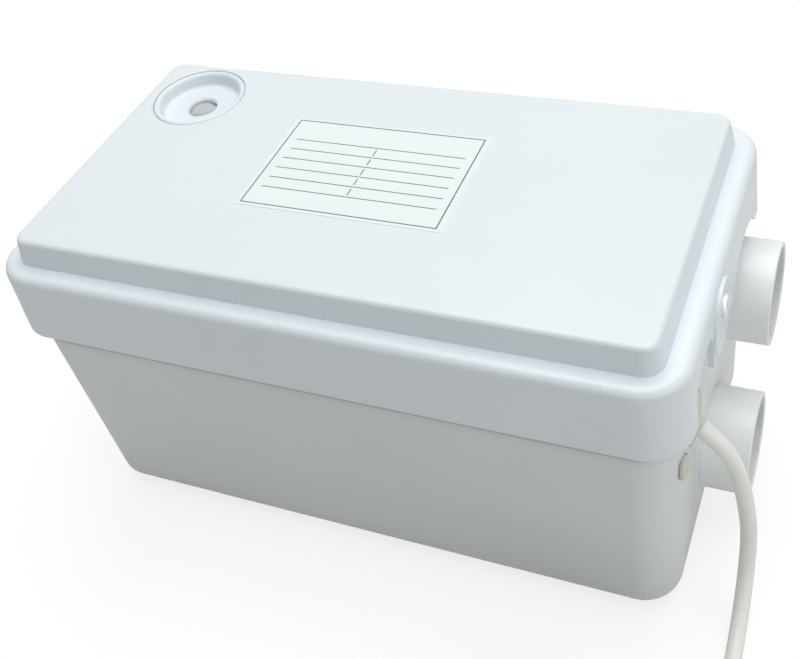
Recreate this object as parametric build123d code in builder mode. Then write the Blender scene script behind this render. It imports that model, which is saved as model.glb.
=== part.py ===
"""Small floor-standing sewage pump: a tank with two waste inlets, a submerged centrifugal pump,
a pneumatic level switch, a non-return valve and a mains lead.

The origin is the centre of the base, +X points to the inlet end, +Y to the back and +Z up. Sizes are in mm.
"""
import os
from math import atan2, cos, degrees, hypot, pi, radians, sin, sqrt, tan

from build123d import *

# Tank
mat_inset, mat_thick = 25.0, 2.0
tank_length, tank_width, tank_height = 293.0, 153.0, 111.0
tank_draft_x, tank_draft_y = 3.0, 2.5
tank_wall = 3.0
tank_corner = 17.0
tank_edge = 8.0
collar_step = 0.5

# Lid
skirt_height = 34.0
skirt_gap = 2.0
skirt_wall = 2.5
skirt_draft = 1.2
lid_corner = 19.0
rim_edge = 4.0
seal_height = 4.0
lid_wall = 3.0
panel_inset_x, panel_inset_y = 11.3, 10.8
panel_height = 12.0
panel_corner = 6.0
panel_draft = 2.25
panel_edge = 2.4
label_length, label_width, label_thick = 94.6, 61.8, 0.2
label_x, label_y = -3.3, 3.8

# Vent in the lid
vent_inset_x, vent_inset_y = 28.7, 26.3
vent_radius = 20.3
vent_depth = 6.0
vent_hole = 7.0
vent_floor = 3.0
vent_lip, vent_seat, vent_step = 2.0, 1.6, 1.0
vent_groove = 0.5
vent_ring = 4.0
filter_height = 14.0

# Lid lugs and their screws
lug_y, lug_width, lug_proud = -16.0, 28.0, 0.5
lug_above_skirt, lug_below_skirt = 29.5, 3.0
lug_edge = 0.35
lid_screw_radius, lid_screw_head, lid_screw_crown = 2.2, 4.6, 1.4
lid_screw_rise = 19.0
cable_notch_y, cable_notch_width, cable_notch_height = -45.5, 29.0, 21.0

# Inlets
stub_radius, stub_bore = 22.5, 20.3
stub_length = 25.0
port_seat_inset = 3.5
upper_inlet_y, upper_inlet_drop = 33.0, 19.0
lower_inlet_rise = 7.0
flange_clearance = 5.6049
arch_clearance = 8.0
flange_rim, flange_thick = 7.5, 3.0
gasket_thick = 1.5
port_screw_radius = 1.45
flap_thick = 2.0
flap_gap = 0.3
flap_weight = 3.0
hinge_pin_radius = 1.0
pin_clearance = 0.05
hinge_barrel_radius = 2.4

# Pump and motor
pump_x, pump_y = -10.0, 0.0
strainer_radius, eye_radius = 34.0, 16.0
strainer_gap = 2.0
cover_base, cover_thick = 24.0, 4.0
volute_radius, volute_wall, volute_height = 53.0, 10.0, 22.0
impeller_gap = 7.0
plate_thick = 6.0
casing_wall = 2.0
motor_cover_thick = 5.0
shaft_radius = 5.0
shaft_clearance = 0.05
bearing_width = 8.0
stator_depth = 21.5
air_gap = 0.5
core_room = 20.0
slot_count, slot_depth, slot_width = 24, 12.0, 3.0
impeller_blades = 6
pump_screw_radius = 2.0
mount_x, mount_radius, mount_boss = 30.0, 8.0, 7.0
capacitor_x, capacitor_y, capacitor_radius = 58.0, -38.0, 15.0
capacitor_rise = 14.0
clip_thick = 1.8

# Discharge
outlet_inset, outlet_z = 13.0, 39.0
spigot_radius, spigot_wall = 14.0, 3.0
hose_wall = 3.0
hose_overlap = 14.0
elbow_bend = 20.0
valve_wall, valve_height = 3.0, 40.0
discharge_length = 41.5
discharge_neck_length = 9.5

# Level switch
bell_y = -42.0
bell_radius, bell_wall = 12.0, 2.0
switch_radius = 22.0
diaphragm_thick = 1.5
plunger_radius = 3.0
spring_radius, spring_wire = 5.2, 0.8

# Lead
cable_radius = 3.4
grommet_y, grommet_drop = -49.0, 9.6
grommet_radius, grommet_neck, grommet_lip = 11.0, 8.9, 1.3
relief_length = 22.0
exit_slope = 45.0
exit_reach = 5.5
spare_angle, spare_drop, spare_width, spare_height = -11.0, 23.0, 7.0, 13.0
coil_radius = 46.5
coil_gap = 0.6
coil_lift = 1.4
coil_half_turns = 5
plug_radius, plug_length, plug_axis_z = 18.0, 36.0, 18.2
plug_tail = 24.0
plug_pin_radius, plug_pin_length, plug_pin_spacing = 2.4, 19.0, 19.0
tie_thick, tie_width = 1.0, 8.0

# Levels and sizes that follow from the values above
tank_base_length = tank_length - 2 * tank_draft_x
tank_base_width = tank_width - 2 * tank_draft_y
mat_length = tank_base_length - 2 * mat_inset
mat_width = tank_base_width - 2 * mat_inset
tank_z = mat_thick
skirt_z = tank_z + tank_height
rim_z = skirt_z + skirt_height
panel_z = rim_z + panel_height
ledge_z = rim_z - lid_wall
tank_rim_z = ledge_z - seal_height
floor_z = tank_z + tank_wall
skirt_length = tank_length + 2 * (skirt_gap + skirt_wall)
skirt_width = tank_width + 2 * (skirt_gap + skirt_wall)
rim_length = skirt_length - 2 * skirt_draft
rim_width = skirt_width - 2 * skirt_draft
panel_length = rim_length - 2 * panel_inset_x
panel_width = rim_width - 2 * panel_inset_y
collar_length = tank_length - 2 * collar_step
collar_width = tank_width - 2 * collar_step
vent_x = vent_inset_x - panel_length / 2
vent_y = panel_width / 2 - vent_inset_y
vent_boss = vent_radius + vent_lip
vent_neck = vent_boss - vent_step
filter_radius = vent_boss - vent_ring - 1.9
lug_z, lug_top = skirt_z - lug_below_skirt, skirt_z + lug_above_skirt
lid_screw_z = skirt_z + lid_screw_rise
upper_inlet_z = skirt_z - upper_inlet_drop
port_seat_x = tank_base_length / 2 - port_seat_inset
discharge_seat_y = tank_base_width / 2 - port_seat_inset
stub_reach = port_seat_x + stub_length
flange_radius = stub_radius + flange_rim
lower_inlet_z = floor_z + flange_radius + lower_inlet_rise
inlet_pitch = 2 * flange_radius + flange_clearance
lower_inlet_y = upper_inlet_y - sqrt(max(inlet_pitch**2 - (upper_inlet_z - lower_inlet_z) ** 2, 0))
port_screw_circle = stub_radius + 4
flap_radius = stub_radius - 0.2
hinge_rise = stub_radius + 3
strainer_base = floor_z + strainer_gap
volute_cavity = volute_radius - volute_wall
pump_screw_circle = volute_radius - 3.5
casing_radius = volute_radius - 7
impeller_radius = volute_cavity - impeller_gap
bearing_radius = shaft_radius + 8
seal_radius = shaft_radius + 6
stator_bore = casing_radius - stator_depth
outlet_y = volute_cavity - outlet_inset
mount_y = outlet_y + spigot_radius + mount_radius + 4
volute_z = cover_base + cover_thick
plate_z = volute_z + volute_height
casing_z = plate_z + plate_thick
motor_cover_z = tank_rim_z - 2
core_base = casing_z + core_room
core_height = motor_cover_z - core_room - core_base
capacitor_base = casing_z + capacitor_rise
capacitor_height = tank_rim_z - 12 - capacitor_base
spigot_bore = spigot_radius - spigot_wall
outlet_end = volute_radius + 15
outlet_x = pump_x - outlet_end
valve_x, valve_y = outlet_x - elbow_bend - 6, pump_y + outlet_y
valve_seat_z = outlet_z + elbow_bend + hose_overlap + 1
valve_radius = spigot_radius + 9
valve_flap_radius = spigot_radius + 1
valve_outlet_z = valve_seat_z + valve_height / 2
outlet_screw_circle = spigot_radius + 5.5
discharge_reach = discharge_seat_y + discharge_length
discharge_neck, neck_end_y = spigot_radius + 1, discharge_seat_y + discharge_neck_length
discharge_flange = spigot_radius + 10
bell_x = valve_x
bell_top = tank_rim_z - 22
grommet_z = skirt_z - grommet_drop
spare_z = skirt_z - spare_drop
relief_small, relief_big = cable_radius + 0.5, cable_radius + 1.5
coil_pitch = 2 * cable_radius + coil_gap
layer_rise = coil_pitch

os.makedirs("parts", exist_ok=True)


def keep(builder, name):
    """Labels a finished piece and writes it to its own file."""
    builder.part.label = name
    export_step(builder.part, f"parts/{name}.step")


def ports():
    """The two inlets' centres, as (y, z)."""
    return (upper_inlet_y, upper_inlet_z), (lower_inlet_y, lower_inlet_z)


def around(centre, radius, count, turn=0.0):
    """Points on a circle, as (across, up)."""
    steps = [radians(turn + 360 * k / count) for k in range(count)]
    return [(centre[0] + radius * cos(a), centre[1] + radius * sin(a)) for a in steps]


def vent_places(*steps):
    """Points of the vent cup's section, each a distance from its axis and a height over the panel."""
    return [(vent_x + across, panel_z + up) for across, up in steps]


def inset(length, width, corner, step):
    """A rounded rectangle drawn a step inside another."""
    RectangleRounded(length - 2 * step, width - 2 * step, corner - step)


BACKWARDS = Plane(origin=(0, 0, 0), x_dir=(-1, 0, 0), z_dir=(0, 1, 0))

# Rubber mat that the tank stands on
with BuildPart() as rubber_mat:
    with BuildSketch():
        RectangleRounded(mat_length, mat_width, 12)
        with GridLocations(mat_length / 3, mat_width / 2, 3, 2):
            SlotOverall(30, 8, mode=Mode.SUBTRACT)
    extrude(amount=mat_thick)
keep(rubber_mat, "rubber_mat")

# Tank: a drafted tub, a straight collar under the lid, bosses for the pump and pads for the ports
boss_places = [(pump_x + i * mount_x, pump_y + j * mount_y) for i in (-1, 1) for j in (-1, 1)]
slant = Vector(cos(radians(exit_slope)), 0, -sin(radians(exit_slope)))
flare = tank_draft_x / tank_height
side_flare = tank_draft_y / tank_height
wall_at_grommet = tank_base_length / 2 + flare * (grommet_z - tank_z)
corner_x = tank_base_length / 2 + flare * (spare_z - tank_z) - tank_corner
corner_y = tank_corner - tank_base_width / 2 - side_flare * (spare_z - tank_z)
spare_turn = radians(spare_angle)
spare_entry = Plane(
    origin=(corner_x + tank_corner * cos(spare_turn), corner_y + tank_corner * sin(spare_turn), spare_z),
    x_dir=(-sin(spare_turn), cos(spare_turn), 0),
    z_dir=(cos(spare_turn), sin(spare_turn), 0),
)
lid_boss_depth = 9.0
with BuildPart() as tank:
    with BuildSketch(Plane.XY.offset(tank_z)):
        RectangleRounded(tank_base_length, tank_base_width, tank_corner)
    with BuildSketch(Plane.XY.offset(skirt_z)):
        RectangleRounded(tank_length, tank_width, tank_corner)
    loft()
    fillet(tank.faces().sort_by(Axis.Z)[0].edges(), tank_edge)
    with BuildSketch(Plane.XY.offset(skirt_z)):
        RectangleRounded(collar_length, collar_width, tank_corner)
    extrude(amount=tank_rim_z - skirt_z)
    with BuildSketch(Plane.XY.offset(floor_z)):
        inset(tank_base_length, tank_base_width, tank_corner, tank_wall)
    with BuildSketch(Plane.XY.offset(skirt_z)):
        inset(tank_length, tank_width, tank_corner, tank_wall)
    loft(mode=Mode.SUBTRACT)
    inner_floor = tank.faces().filter_by(lambda f: abs(f.center().Z - floor_z) < 0.01)
    fillet(inner_floor.edges(), tank_edge - tank_wall)
    with BuildSketch(Plane.XY.offset(skirt_z)):
        inset(collar_length, collar_width, tank_corner, tank_wall)
    extrude(amount=tank_rim_z - skirt_z, mode=Mode.SUBTRACT)
    with BuildSketch(Plane.XY.offset(floor_z)):
        with Locations(*boss_places):
            Circle(mount_radius)
    extrude(amount=mount_boss)
    with BuildSketch(Plane.XY.offset(floor_z + 1)):
        with Locations(*boss_places):
            Circle(2.0)
    extrude(amount=mount_boss, mode=Mode.SUBTRACT)
    with BuildSketch(Plane.YZ.offset(port_seat_x)):
        with Locations(*ports()):
            Circle(flange_radius + 1)
    extrude(amount=3.6)
    for centre in ports():
        with BuildSketch(Plane.YZ.offset(port_seat_x - 1)):
            with Locations(centre):
                Circle(stub_radius + 0.15)
        extrude(amount=14, mode=Mode.SUBTRACT)
        with BuildSketch(Plane.YZ.offset(port_seat_x)):
            with Locations(*around(centre, port_screw_circle, 4, 45)):
                Circle(1.5)
        extrude(amount=2.4, mode=Mode.SUBTRACT)
    with BuildSketch(BACKWARDS.offset(discharge_seat_y)):
        with Locations((-valve_x, valve_outlet_z)):
            Circle(discharge_flange + 1)
    extrude(amount=4)
    with BuildSketch(BACKWARDS.offset(discharge_seat_y - 1)):
        with Locations((-valve_x, valve_outlet_z)):
            Circle(discharge_neck + 0.15)
    extrude(amount=12, mode=Mode.SUBTRACT)
    with BuildSketch(BACKWARDS.offset(discharge_seat_y)):
        with Locations(*around((-valve_x, valve_outlet_z), outlet_screw_circle, 4, 45)):
            Circle(1.5)
    extrude(amount=3, mode=Mode.SUBTRACT)
    for side in (-1, 1):
        with BuildSketch(Plane.YZ.offset(side * (collar_length / 2 - 1))):
            with Locations((lug_y, lid_screw_z)):
                Circle(5.5)
        extrude(amount=side * (1 - tank_wall - lid_boss_depth))
        with BuildSketch(Plane.YZ.offset(side * (collar_length / 2 + 1))):
            with Locations((lug_y, lid_screw_z)):
                Circle(lid_screw_radius + 0.1)
        extrude(amount=-side * (tank_wall + lid_boss_depth), mode=Mode.SUBTRACT)
    with BuildSketch(Plane.YZ.offset(wall_at_grommet - 8)):
        with Locations((grommet_y, grommet_z)):
            Circle(grommet_neck + 0.1)
    extrude(amount=16, mode=Mode.SUBTRACT)
    with BuildSketch(spare_entry.offset(-6)):
        SlotOverall(spare_height - 2.5, spare_width - 2, rotation=90)
    extrude(amount=10, mode=Mode.SUBTRACT)
keep(tank, "tank")

# Seal between the tank's collar and the lid
with BuildPart() as lid_seal:
    with BuildSketch(Plane.XY.offset(tank_rim_z)):
        RectangleRounded(collar_length, collar_width, tank_corner)
    extrude(amount=seal_height)
    with BuildSketch(Plane.XY.offset(tank_rim_z)):
        inset(collar_length, collar_width, tank_corner, tank_wall)
    extrude(amount=seal_height, mode=Mode.SUBTRACT)
keep(lid_seal, "lid_seal")

# Lid: skirt, rim, raised panel, vent recess, arches over the upper inlet and the lead, end lugs
with BuildPart() as lid:
    with BuildSketch(Plane.XY.offset(skirt_z)):
        RectangleRounded(skirt_length, skirt_width, lid_corner)
    with BuildSketch(Plane.XY.offset(rim_z)):
        RectangleRounded(rim_length, rim_width, lid_corner)
    loft()
    fillet(lid.faces().sort_by(Axis.Z)[-1].edges(), rim_edge)
    with BuildSketch(Plane.XY.offset(rim_z)):
        inset(panel_length, panel_width, panel_corner, -panel_draft)
    with BuildSketch(Plane.XY.offset(panel_z)):
        RectangleRounded(panel_length, panel_width, panel_corner)
    loft()
    fillet(lid.faces().sort_by(Axis.Z)[-1].edges(), panel_edge)
    for side in (-1, 1):
        with BuildSketch(Plane.YZ.offset(side * (skirt_length / 2 - skirt_wall))):
            with Locations((lug_y, (lug_z + lug_top) / 2)):
                SlotOverall(lug_top - lug_z, lug_width, rotation=90)
        extrude(amount=side * (skirt_wall + lug_proud))
    lug_faces = lid.faces().filter_by(lambda f: abs(abs(f.center().X) - skirt_length / 2 - lug_proud) < 0.01)
    fillet(lug_faces.edges(), lug_edge)
    with BuildSketch(Plane.XY.offset(skirt_z)):
        inset(skirt_length, skirt_width, lid_corner, skirt_wall)
    with BuildSketch(Plane.XY.offset(ledge_z)):
        inset(rim_length, rim_width, lid_corner, skirt_wall)
    loft(mode=Mode.SUBTRACT)
    with BuildSketch(Plane.XY.offset(ledge_z)):
        inset(panel_length, panel_width, panel_corner, lid_wall)
    extrude(amount=panel_height, mode=Mode.SUBTRACT)
    with BuildSketch(Plane.XY.offset(panel_z - vent_seat)):
        with Locations((vent_x, vent_y)):
            Circle(vent_boss + vent_groove)
    extrude(amount=vent_seat, mode=Mode.SUBTRACT)
    seat_rim = lid.edges().filter_by(GeomType.CIRCLE).filter_by(
        lambda e: abs(e.radius - vent_boss - vent_groove) < 0.01 and e.center().Z > panel_z - 0.1
    )
    fillet(seat_rim, 0.4)
    with BuildSketch(Plane.XY.offset(panel_z - lid_wall - 1)):
        with Locations((vent_x, vent_y)):
            Circle(vent_neck + 0.1)
    extrude(amount=lid_wall + 1, mode=Mode.SUBTRACT)
    with BuildSketch(Plane.YZ.offset(skirt_length / 2 - skirt_wall - 4)):
        with Locations((upper_inlet_y, upper_inlet_z)):
            Circle(stub_radius + arch_clearance)
        with Locations((cable_notch_y, skirt_z)):
            RectangleRounded(cable_notch_width, 2 * cable_notch_height, 9)
    extrude(amount=skirt_wall + 10, mode=Mode.SUBTRACT)
    with BuildSketch(Plane.YZ.offset(-skirt_length / 2 - 5)):
        with Locations((lug_y, lid_screw_z)):
            Circle(lid_screw_radius + 0.2)
    extrude(amount=skirt_length + 10, mode=Mode.SUBTRACT)
keep(lid, "lid")

# One screw through each lug
lug_face = skirt_length / 2 + lug_proud
with BuildPart() as lid_screws:
    for side in (-1, 1):
        outwards = Plane(origin=(side * lug_face, lug_y, lid_screw_z), x_dir=(0, 1, 0), z_dir=(side, 0, 0))
        with BuildSketch(outwards):
            Circle(lid_screw_head)
        extrude(amount=lid_screw_crown)
        with BuildSketch(outwards.offset(lid_screw_crown)):
            SlotOverall(5.2, 1.1)
            SlotOverall(5.2, 1.1, rotation=90)
        extrude(amount=-1.2, mode=Mode.SUBTRACT)
        with BuildSketch(outwards):
            Circle(lid_screw_radius)
        extrude(amount=-(lug_face - collar_length / 2 + tank_wall + lid_boss_depth - 4))
    heads = lid_screws.faces().filter_by(lambda f: abs(abs(f.center().X) - lug_face - lid_screw_crown) < 0.01)
    rims = [e for e in heads.edges().filter_by(GeomType.CIRCLE) if e.radius > lid_screw_head - 0.01]
    fillet(rims, 0.9)
keep(lid_screws, "lid_screws")

# Paper label
with BuildPart() as rating_label:
    with BuildSketch(Plane.XY.offset(panel_z)):
        with Locations((label_x, label_y)):
            Rectangle(label_length, label_width)
    extrude(amount=label_thick)
keep(rating_label, "rating_label")

# Vent cup: its rounded lip rests in the lid's seat, its ring below takes the basket
basket_top = panel_z - vent_depth - vent_floor

with BuildPart() as vent_cup:
    with BuildSketch(Plane.XZ.offset(-vent_y)):
        with BuildLine():
            Polyline(*vent_places(
                (vent_radius - 3, -vent_depth),
                (vent_hole + 0.8, -vent_depth),
                (vent_hole, -vent_depth - 0.8),
                (vent_hole, -vent_depth - vent_floor),
                (vent_boss - vent_ring, -vent_depth - vent_floor),
                (vent_boss - vent_ring, -vent_depth - vent_floor - 4),
                (vent_neck, -vent_depth - vent_floor - 4),
                (vent_neck, -vent_seat),
                (vent_boss, -vent_seat),
                (vent_boss, -0.9),
            ))
            ThreePointArc(*vent_places((vent_boss, -0.9), (vent_boss - 0.3, -0.28), (vent_boss - 1, 0)))
            ThreePointArc(*vent_places(
                (vent_boss - 1, 0), (vent_radius - 0.25, -0.55), (vent_radius - 0.9, -1.9)
            ))
            Line(*vent_places((vent_radius - 0.9, -1.9), (vent_radius - 1.4, 1.5 - vent_depth)))
            ThreePointArc(*vent_places(
                (vent_radius - 1.4, 1.5 - vent_depth),
                (vent_radius - 1.85, 0.45 - vent_depth),
                (vent_radius - 3, -vent_depth),
            ))
        make_face()
    revolve(axis=Axis((vent_x, vent_y, 0), (0, 0, 1)))
keep(vent_cup, "vent_cup")

# Fleece pad and the basket that holds it under the vent
with BuildPart() as vent_basket:
    with BuildSketch(Plane.XY.offset(basket_top - filter_height - 3)):
        with Locations((vent_x, vent_y)):
            Circle(vent_boss - vent_ring - 0.05)
    extrude(amount=filter_height + 3)
    with BuildSketch(Plane.XY.offset(basket_top - 6)):
        with Locations((vent_x, vent_y)):
            Circle(vent_boss)
    extrude(amount=2)
    with BuildSketch(Plane.XY.offset(basket_top - filter_height - 1.5)):
        with Locations((vent_x, vent_y)):
            Circle(filter_radius + 0.1)
    extrude(amount=filter_height + 3, mode=Mode.SUBTRACT)
    with BuildSketch(Plane.XY.offset(basket_top - filter_height - 4)):
        with Locations(*around((vent_x, vent_y), 9, 8)):
            Circle(2.2)
    extrude(amount=4, mode=Mode.SUBTRACT)
keep(vent_basket, "vent_basket")

with BuildPart() as vent_filter:
    with BuildSketch(Plane.XY.offset(basket_top - filter_height - 1.5)):
        with Locations((vent_x, vent_y)):
            Circle(filter_radius)
    extrude(amount=filter_height)
keep(vent_filter, "vent_filter")


# Inlets: each has a flanged socket, a gasket, four screws and a flap that swings inwards on a pin
flange_face_x = port_seat_x - gasket_thick - flange_thick
hinge_x = flange_face_x - 0.9
hinge_slot = 8.4


def build_stub(centre, name):
    """A socket with its inner flange and the two ears that carry the flap's pin."""
    y, z = centre
    with BuildPart() as stub:
        with BuildSketch(Plane.YZ.offset(flange_face_x)):
            with Locations(centre):
                Circle(flange_radius)
        extrude(amount=flange_thick)
        with BuildSketch(Plane.YZ.offset(flange_face_x)):
            with Locations(centre):
                Circle(stub_radius)
        extrude(amount=stub_reach - flange_face_x)
        with BuildSketch(Plane.YZ.offset(flange_face_x - 1)):
            with Locations(centre):
                Circle(stub_bore)
        extrude(amount=stub_reach - flange_face_x + 2, mode=Mode.SUBTRACT)
        outer_end = stub.faces().sort_by(Axis.X)[-1]
        fillet(outer_end.edges(), (stub_radius - stub_bore) / 2 - 0.3)
        with BuildSketch(Plane.YZ.offset(flange_face_x - 1)):
            with Locations(*around(centre, port_screw_circle, 4, 45)):
                Circle(1.5)
        extrude(amount=flange_thick + 2, mode=Mode.SUBTRACT)
        with BuildSketch(Plane.XZ.offset(-(y - 7))):
            with Locations((hinge_x, z + hinge_rise)):
                Circle(hinge_barrel_radius)
                Rectangle(2 * (flange_face_x - hinge_x), 2 * hinge_barrel_radius)
        extrude(amount=-14)
        with BuildSketch(Plane.XZ.offset(-(y - hinge_slot / 2))):
            with Locations((hinge_x, z + hinge_rise + 2)):
                Rectangle(2 * (flange_face_x + flange_thick - hinge_x), 2 * hinge_barrel_radius + 5)
        extrude(amount=-hinge_slot, mode=Mode.SUBTRACT)
        with BuildSketch(Plane.XZ.offset(-(y - 8))):
            with Locations((hinge_x, z + hinge_rise)):
                Circle(hinge_pin_radius)
        extrude(amount=-16, mode=Mode.SUBTRACT)
    keep(stub, name)


def build_flap(centre, name):
    """A round flap, its stiffening disc, its arm and the barrel that turns on the pin."""
    y, z = centre
    back = flange_face_x - flap_gap - flap_thick
    with BuildPart() as flap:
        with BuildSketch(Plane.YZ.offset(back)):
            with Locations(centre):
                Circle(flap_radius)
        extrude(amount=flap_thick)
        with BuildSketch(Plane.YZ.offset(back - flap_weight)):
            with Locations(centre):
                Circle(flap_radius - 6)
        extrude(amount=flap_weight)
        with BuildSketch(Plane.YZ.offset(back)):
            with Locations((y, z + (hinge_rise + flap_radius - 3) / 2)):
                Rectangle(6.4, hinge_rise - flap_radius + 3)
        extrude(amount=flap_thick)
        with BuildSketch(Plane.XZ.offset(-(y - 3.7))):
            with Locations((hinge_x, z + hinge_rise)):
                Circle(hinge_barrel_radius)
        extrude(amount=-7.4)
        with BuildSketch(Plane.XZ.offset(-(y - 5))):
            with Locations((hinge_x, z + hinge_rise)):
                Circle(hinge_pin_radius + pin_clearance)
        extrude(amount=-10, mode=Mode.SUBTRACT)
    keep(flap, name)


for centre, side in zip(ports(), ("upper", "lower")):
    build_stub(centre, f"{side}_inlet_stub")
    build_flap(centre, f"{side}_inlet_flap")

outlet_centre = (-valve_x, valve_outlet_z)
with BuildPart() as port_gaskets:
    for centre in ports():
        with BuildSketch(Plane.YZ.offset(port_seat_x - gasket_thick)):
            with Locations(centre):
                Circle(flange_radius)
                Circle(stub_radius + 0.1, mode=Mode.SUBTRACT)
            with Locations(*around(centre, port_screw_circle, 4, 45)):
                Circle(1.5, mode=Mode.SUBTRACT)
        extrude(amount=gasket_thick)
    with BuildSketch(BACKWARDS.offset(discharge_seat_y - gasket_thick)):
        with Locations(outlet_centre):
            Circle(discharge_flange)
            Circle(discharge_neck + 0.1, mode=Mode.SUBTRACT)
        with Locations(*around(outlet_centre, outlet_screw_circle, 4, 45)):
            Circle(1.5, mode=Mode.SUBTRACT)
    extrude(amount=gasket_thick)
keep(port_gaskets, "port_gaskets")

with BuildPart() as port_screws:
    for centre in ports():
        places = around(centre, port_screw_circle, 4, 45)
        with BuildSketch(Plane.YZ.offset(flange_face_x)):
            with Locations(*places):
                Circle(port_screw_radius)
        extrude(amount=flange_thick + gasket_thick + 2.2)
        with BuildSketch(Plane.YZ.offset(flange_face_x)):
            with Locations(*places):
                Circle(2.6)
        extrude(amount=-1.8)
    places = around((-valve_x, valve_outlet_z), outlet_screw_circle, 4, 45)
    discharge_head_y = discharge_seat_y - gasket_thick - flange_thick
    with BuildSketch(BACKWARDS.offset(discharge_head_y)):
        with Locations(*places):
            Circle(port_screw_radius)
    extrude(amount=flange_thick + gasket_thick + 2.8)
    with BuildSketch(BACKWARDS.offset(discharge_head_y)):
        with Locations(*places):
            Circle(2.6)
    extrude(amount=-1.8)
keep(port_screws, "port_screws")

# Pump: strainer, suction cover, volute, impeller and the plate under the motor
pump_axis = Plane(origin=(pump_x, pump_y, 0))
pump_screw_places = around((0, 0), pump_screw_circle, 4)
mount_places = [(i * mount_x, j * mount_y) for i in (-1, 1) for j in (-1, 1)]

with BuildPart() as suction_strainer:
    with BuildSketch(pump_axis.offset(strainer_base)):
        Circle(strainer_radius)
    extrude(amount=cover_base - strainer_base)
    with BuildSketch(pump_axis.offset(cover_base - 2)):
        Circle(strainer_radius + 4)
    extrude(amount=2)
    with BuildSketch(pump_axis.offset(strainer_base + 2)):
        Circle(strainer_radius - 2)
    extrude(amount=cover_base - strainer_base, mode=Mode.SUBTRACT)
    with BuildSketch(pump_axis.offset(strainer_base + 4)):
        with PolarLocations(strainer_radius, 24):
            Rectangle(10, 4)
    extrude(amount=cover_base - strainer_base - 8, mode=Mode.SUBTRACT)
keep(suction_strainer, "suction_strainer")

with BuildPart() as suction_cover:
    with BuildSketch(pump_axis.offset(cover_base)):
        Circle(volute_radius)
        with Locations(*mount_places):
            Circle(mount_radius + 1)
        for x, y in mount_places:
            with Locations((x * 0.72, y * 0.72)):
                Rectangle(36, 2 * mount_radius, rotation=degrees(atan2(y, x)))
        Circle(eye_radius, mode=Mode.SUBTRACT)
        with Locations(*mount_places):
            Circle(2.7, mode=Mode.SUBTRACT)
    extrude(amount=cover_thick)
    with BuildSketch(pump_axis.offset(cover_base + 1)):
        with Locations(*pump_screw_places):
            Circle(pump_screw_radius + 0.05)
    extrude(amount=cover_thick, mode=Mode.SUBTRACT)
keep(suction_cover, "suction_cover")

with BuildPart() as volute:
    with BuildSketch(pump_axis.offset(volute_z)):
        Circle(volute_radius)
    extrude(amount=volute_height)
    with BuildSketch(Plane.YZ.offset(pump_x)):
        with Locations((pump_y + outlet_y, outlet_z)):
            Circle(spigot_radius)
    extrude(amount=-outlet_end)
    with BuildSketch(pump_axis.offset(volute_z + volute_height)):
        Circle(volute_radius + 0.2)
    extrude(amount=20, mode=Mode.SUBTRACT)
    with BuildSketch(pump_axis.offset(volute_z - 20)):
        Circle(volute_radius + 0.2)
    extrude(amount=20, mode=Mode.SUBTRACT)
    with BuildSketch(pump_axis.offset(volute_z)):
        Circle(volute_cavity)
    extrude(amount=volute_height, mode=Mode.SUBTRACT)
    with BuildSketch(Plane.YZ.offset(pump_x)):
        with Locations((pump_y + outlet_y, outlet_z)):
            Circle(spigot_bore - 1)
    extrude(amount=-outlet_end - 1, mode=Mode.SUBTRACT)
    with BuildSketch(pump_axis.offset(volute_z)):
        with Locations(*pump_screw_places):
            Circle(pump_screw_radius + 0.1)
    extrude(amount=volute_height, mode=Mode.SUBTRACT)
keep(volute, "volute")

hub_height = 10.0
with BuildPart() as seal_plate:
    with BuildSketch(pump_axis.offset(plate_z)):
        Circle(volute_radius)
        with Locations(*pump_screw_places):
            Circle(pump_screw_radius + 0.1, mode=Mode.SUBTRACT)
    extrude(amount=casing_z - plate_z)
    with BuildSketch(pump_axis.offset(casing_z)):
        Circle(casing_radius - casing_wall - 0.1)
    extrude(amount=2.5)
    with BuildSketch(pump_axis.offset(casing_z)):
        Circle(bearing_radius + 4)
    extrude(amount=hub_height + 2)
    with BuildSketch(pump_axis.offset(plate_z)):
        Circle(seal_radius + 0.05)
    extrude(amount=casing_z - plate_z, mode=Mode.SUBTRACT)
    with BuildSketch(pump_axis.offset(plate_z)):
        Circle(shaft_radius + 1.5)
    extrude(amount=30, mode=Mode.SUBTRACT)
    with BuildSketch(pump_axis.offset(casing_z + 2)):
        Circle(bearing_radius + 0.05)
    extrude(amount=hub_height, mode=Mode.SUBTRACT)
keep(seal_plate, "seal_plate")

with BuildPart() as motor_casing:
    with BuildSketch(pump_axis.offset(casing_z)):
        Circle(casing_radius)
    extrude(amount=motor_cover_z - casing_z)
    with BuildSketch(pump_axis.offset(casing_z)):
        Circle(volute_radius)
    extrude(amount=4)
    with BuildSketch(pump_axis.offset(casing_z)):
        Circle(casing_radius - casing_wall)
    extrude(amount=motor_cover_z - casing_z, mode=Mode.SUBTRACT)
    with BuildSketch(pump_axis.offset(casing_z)):
        with Locations(*pump_screw_places):
            Circle(pump_screw_radius + 0.1)
    extrude(amount=4, mode=Mode.SUBTRACT)
keep(motor_casing, "motor_casing")

with BuildPart() as pump_screws:
    with BuildSketch(pump_axis.offset(casing_z + 4)):
        with Locations(*pump_screw_places):
            RegularPolygon(3.4, 6)
    extrude(amount=2.8)
    with BuildSketch(pump_axis.offset(cover_base + 1.2)):
        with Locations(*pump_screw_places):
            Circle(pump_screw_radius)
    extrude(amount=casing_z + 4 - cover_base - 1.2)
keep(pump_screws, "pump_screws")

with BuildPart() as pump_mounts:
    with BuildSketch(pump_axis.offset(floor_z + mount_boss)):
        with Locations(*mount_places):
            Circle(mount_radius)
            Circle(2.7, mode=Mode.SUBTRACT)
    extrude(amount=cover_base - floor_z - mount_boss)
    ring_edges = pump_mounts.edges().filter_by(GeomType.CIRCLE)
    fillet([e for e in ring_edges if e.radius > mount_radius - 0.1], 1.2)
keep(pump_mounts, "pump_mounts")

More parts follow.
